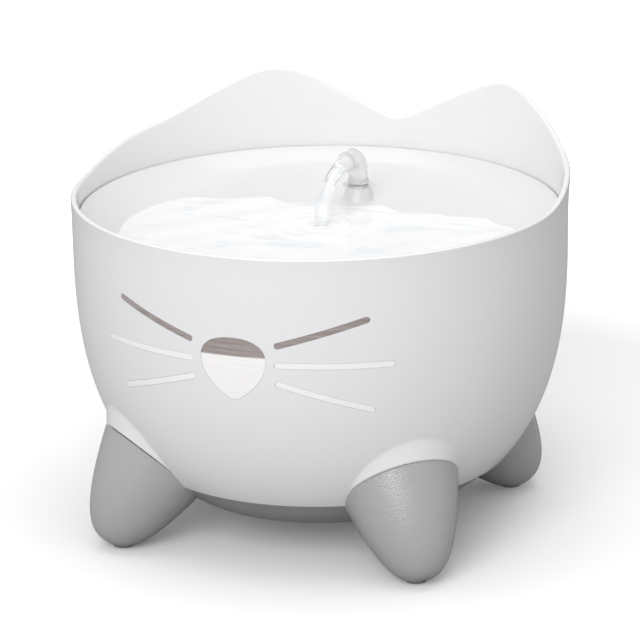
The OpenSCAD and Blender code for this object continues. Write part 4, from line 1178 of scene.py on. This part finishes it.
def spout_line():
    """Centre line of the spout: upright, quarter bend, straight nozzle."""
    bend_z = ARCH_TOP_Z - ARCH_R
    flat = [(0.0, z) for z in np.linspace(SPOUT_FOOT_Z, bend_z, 6)[:-1]]
    flat += [(ARCH_R * (1 - math.cos(a)), bend_z + ARCH_R * math.sin(a))
             for a in np.linspace(0, np.pi / 2, 25)]
    flat += [(ARCH_R + d, ARCH_TOP_Z) for d in np.linspace(0, NOZZLE_LEN, 7)[1:]]
    return [(SPOUT_WAY[0] * d, SPOUT_Y + SPOUT_WAY[1] * d, z) for d, z in flat]


def make_spout():
    line = spout_line()
    last = len(line) - 1
    outside = [(i, SPOUT_R - (SPOUT_END_ROUND if i in (0, last) else 0.0)) for i in range(last + 1)]
    bore = [(i, SPOUT_BORE_R) for i in range(last, -1, -1)]
    edge_r = SPOUT_BORE_R + SPOUT_BORE_ROUND
    rings = [(0, edge_r)] + outside + [(last, edge_r)] + bore
    return sweep("spout", line, rings, clear_plastic, ring_faces, 64)


def make_collar():
    low, high = COLLAR_LOW_Z, COLLAR_TOP_Z
    path = [(COLLAR_BORE_R, SPIGOT_LOW_Z), (SPIGOT_R - 0.2, SPIGOT_LOW_Z), (SPIGOT_R, SPIGOT_LOW_Z + 0.25),
            (SPIGOT_R, low), (FLANGE_R - 0.2, low), (FLANGE_R, low + 0.2), (FLANGE_R, low + 0.9),
            (FLANGE_R - 0.35, low + 1.25), (6.6, low + 1.3), (5.95, low + 1.7), (5.75, high - 0.3),
            (5.5, high), (5.25, high), (CUP_R, high - 0.3), (CUP_R, CUP_Z), (COLLAR_BORE_R, CUP_Z)]
    return lathe("collar", path + [path[0]], clear_plastic, columns=96, centre=(0, SPOUT_Y), sharp=45)


spout, collar = make_spout(), make_collar()
print("spout faces:", len(spout.data.polygons))

# %% [markdown]
# ## Water
# On the real object water comes up the spout's bore, falls in one smooth stream and fills the low
# part of the dish. A fluid simulation would take minutes and change with each run, and only the
# stream and the pool show, so both are drawn by formula. The stream drops with the square of the
# way, as in a free fall, and its reach eases out towards its end. The pool is a thin closed slab:
# rings spread from the stream over its top, and its underside is hidden in the dish's wall.

# %% Water finishes
# Painted light: the near-white colour paints the reflection of the bright room on the water, and the
# blue-gray noise streaks paint the shade of light bent by the ripples. The high alpha lets this painted
# colour cover the dish below.
POOL_REFLECTION_WHITE = (0.985, 0.988, 0.99)
POOL_RIPPLE_SHADE = (0.86, 0.895, 0.925)
POOL_ALPHA = 0.88
POOL_SCALE = (20, 70, 20)


def pool_finish():
    paint = moulded("pool_water", (1, 1, 1), 0.04, grain=0.25, grain_scale=220.0, shade=0.0, IOR=1.33,
                    Alpha=POOL_ALPHA)
    tree = paint.node_tree
    noise = add_stretched_noise(tree, POOL_SCALE, 5.0, 1.6)
    # Painted shade of the ripples, in streaks over the painted white reflection.
    ramp = add_ramp(tree, noise.outputs["Fac"], (0.32, POOL_RIPPLE_SHADE), (0.46, POOL_REFLECTION_WHITE))
    tree.links.new(ramp.outputs[0], tree.nodes["Principled BSDF"].inputs["Base Color"])
    return paint


pool_water = pool_finish()
stream_water = clear_finish("stream_water", (0.98, 0.99, 1.0), 0.03, 1.33, 0.5, 140.0, 0.8)
print("water finishes:", pool_water.name, stream_water.name)

# %% Pool and stream
POOL_Z = 143.1
POOL_R = 103.0
POOL_BACK_Y = 55.0
POOL_SINK = 0.45  # how far the pool's underside lies in the dish
LAND = (-1.5, 6.0)  # where the stream lands, in x and y
RIPPLE_H = 0.32
RIPPLE_REACH = 16  # the rings fade within this length
RIPPLE_TURN = 0.85  # radians for each mm outwards
STREAM_REACH = 33.0  # how far out it lands
STREAM_BOW = 1.5  # 1 would make a free fall's parabola
STREAM_INSIDE = 1.5  # how far inside the nozzle it starts
STREAM_DIP = 0.3  # how far it ends under the pool
STREAM_R = 3.5
STREAM_THINNER = 0.5  # how much thinner it ends
STREAM_STEPS = 48


def ripple(x, y):
    d = math.hypot(x - LAND[0], y - LAND[1])
    ring = RIPPLE_H * math.exp(-d / RIPPLE_REACH) * math.cos(d * RIPPLE_TURN)
    swell = 0.16 * math.sin(0.11 * x + 0.5) * math.cos(0.13 * y) + 0.10 * math.sin(0.21 * x - 0.17 * y)
    return ring + swell


def make_pool():
    radii = list(np.linspace(ON_AXIS, 40, 60)) + list(np.linspace(41.5, POOL_R, 40))
    angles = np.linspace(0, 2 * np.pi, 160, endpoint=False)
    points = []
    for under in (False, True):
        for r in (reversed(radii) if under else radii):
            for a in angles:
                x, y = r * math.sin(a), LAND[1] - r * math.cos(a)
                far = math.hypot(x, y)
                if far > POOL_R:
                    x, y = x * POOL_R / far, y * POOL_R / far
                y = min(y, POOL_BACK_Y)
                z = POOL_Z + ripple(x, y)
                if under:
                    z = min(dish_height(x, y), z) - POOL_SINK
                points.append((x, y, z))
    pool = add_piece("pool", points, grid_faces(2 * len(radii), len(angles)), pool_water, sharp=80)
    merge(pool, FINE_MERGE)
    return pool


def make_stream():
    line, rings = [], []
    start, fall = NOZZLE_LEN + ARCH_R - STREAM_INSIDE, ARCH_TOP_Z - POOL_Z + STREAM_DIP
    for i, share in enumerate(np.linspace(0, 1, STREAM_STEPS)):
        d = start + STREAM_REACH * (1 - (1 - share) ** STREAM_BOW)
        wave = 0.22 * math.sin(9 * share + 0.6) + 0.12 * math.sin(23 * share)
        line.append((SPOUT_WAY[0] * d + 0.25 * math.sin(7 * share) * share, SPOUT_Y + SPOUT_WAY[1] * d,
                     ARCH_TOP_Z - fall * share ** 2))
        rings.append((i, STREAM_R - STREAM_THINNER * share + wave * min(1, 6 * share)))
    rings = [(0, 0.01)] + rings + [(len(line) - 1, 0.01)]
    return sweep("stream", line, rings, stream_water, grid_faces, 48)


pool, stream = make_pool(), make_stream()
print("pool faces:", len(pool.data.polygons), "stream faces:", len(stream.data.polygons))

# %% [markdown]
# ## What each piece rides on and stands for
# When the dish lifts off or the spout turns, a piece has to go along with the body that carries
# it. So each piece is parented to an empty for that body, and the CAD node that a piece stands
# for is hidden.

# %% Ride and replace
for piece in [shell, lens, plate, pan] + stubs + list(legs.values()):
    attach(piece, "tank")
for piece in dish_pieces + [pool]:
    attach(piece, "dish")
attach(collar, "collar")
for piece in (spout, stream):
    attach(piece, "spout")
for piece in [shell] + stubs:
    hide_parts("outer_shell")
for piece in (lens, plate):
    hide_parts("face_window")
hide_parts("base_pan")
for name, leg in legs.items():
    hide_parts(name)
for piece in dish_pieces:
    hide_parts("drinking_dish")
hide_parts("spout_collar")
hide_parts("spout_tube")
print("pieces on the tank, dish, collar and spout are set")
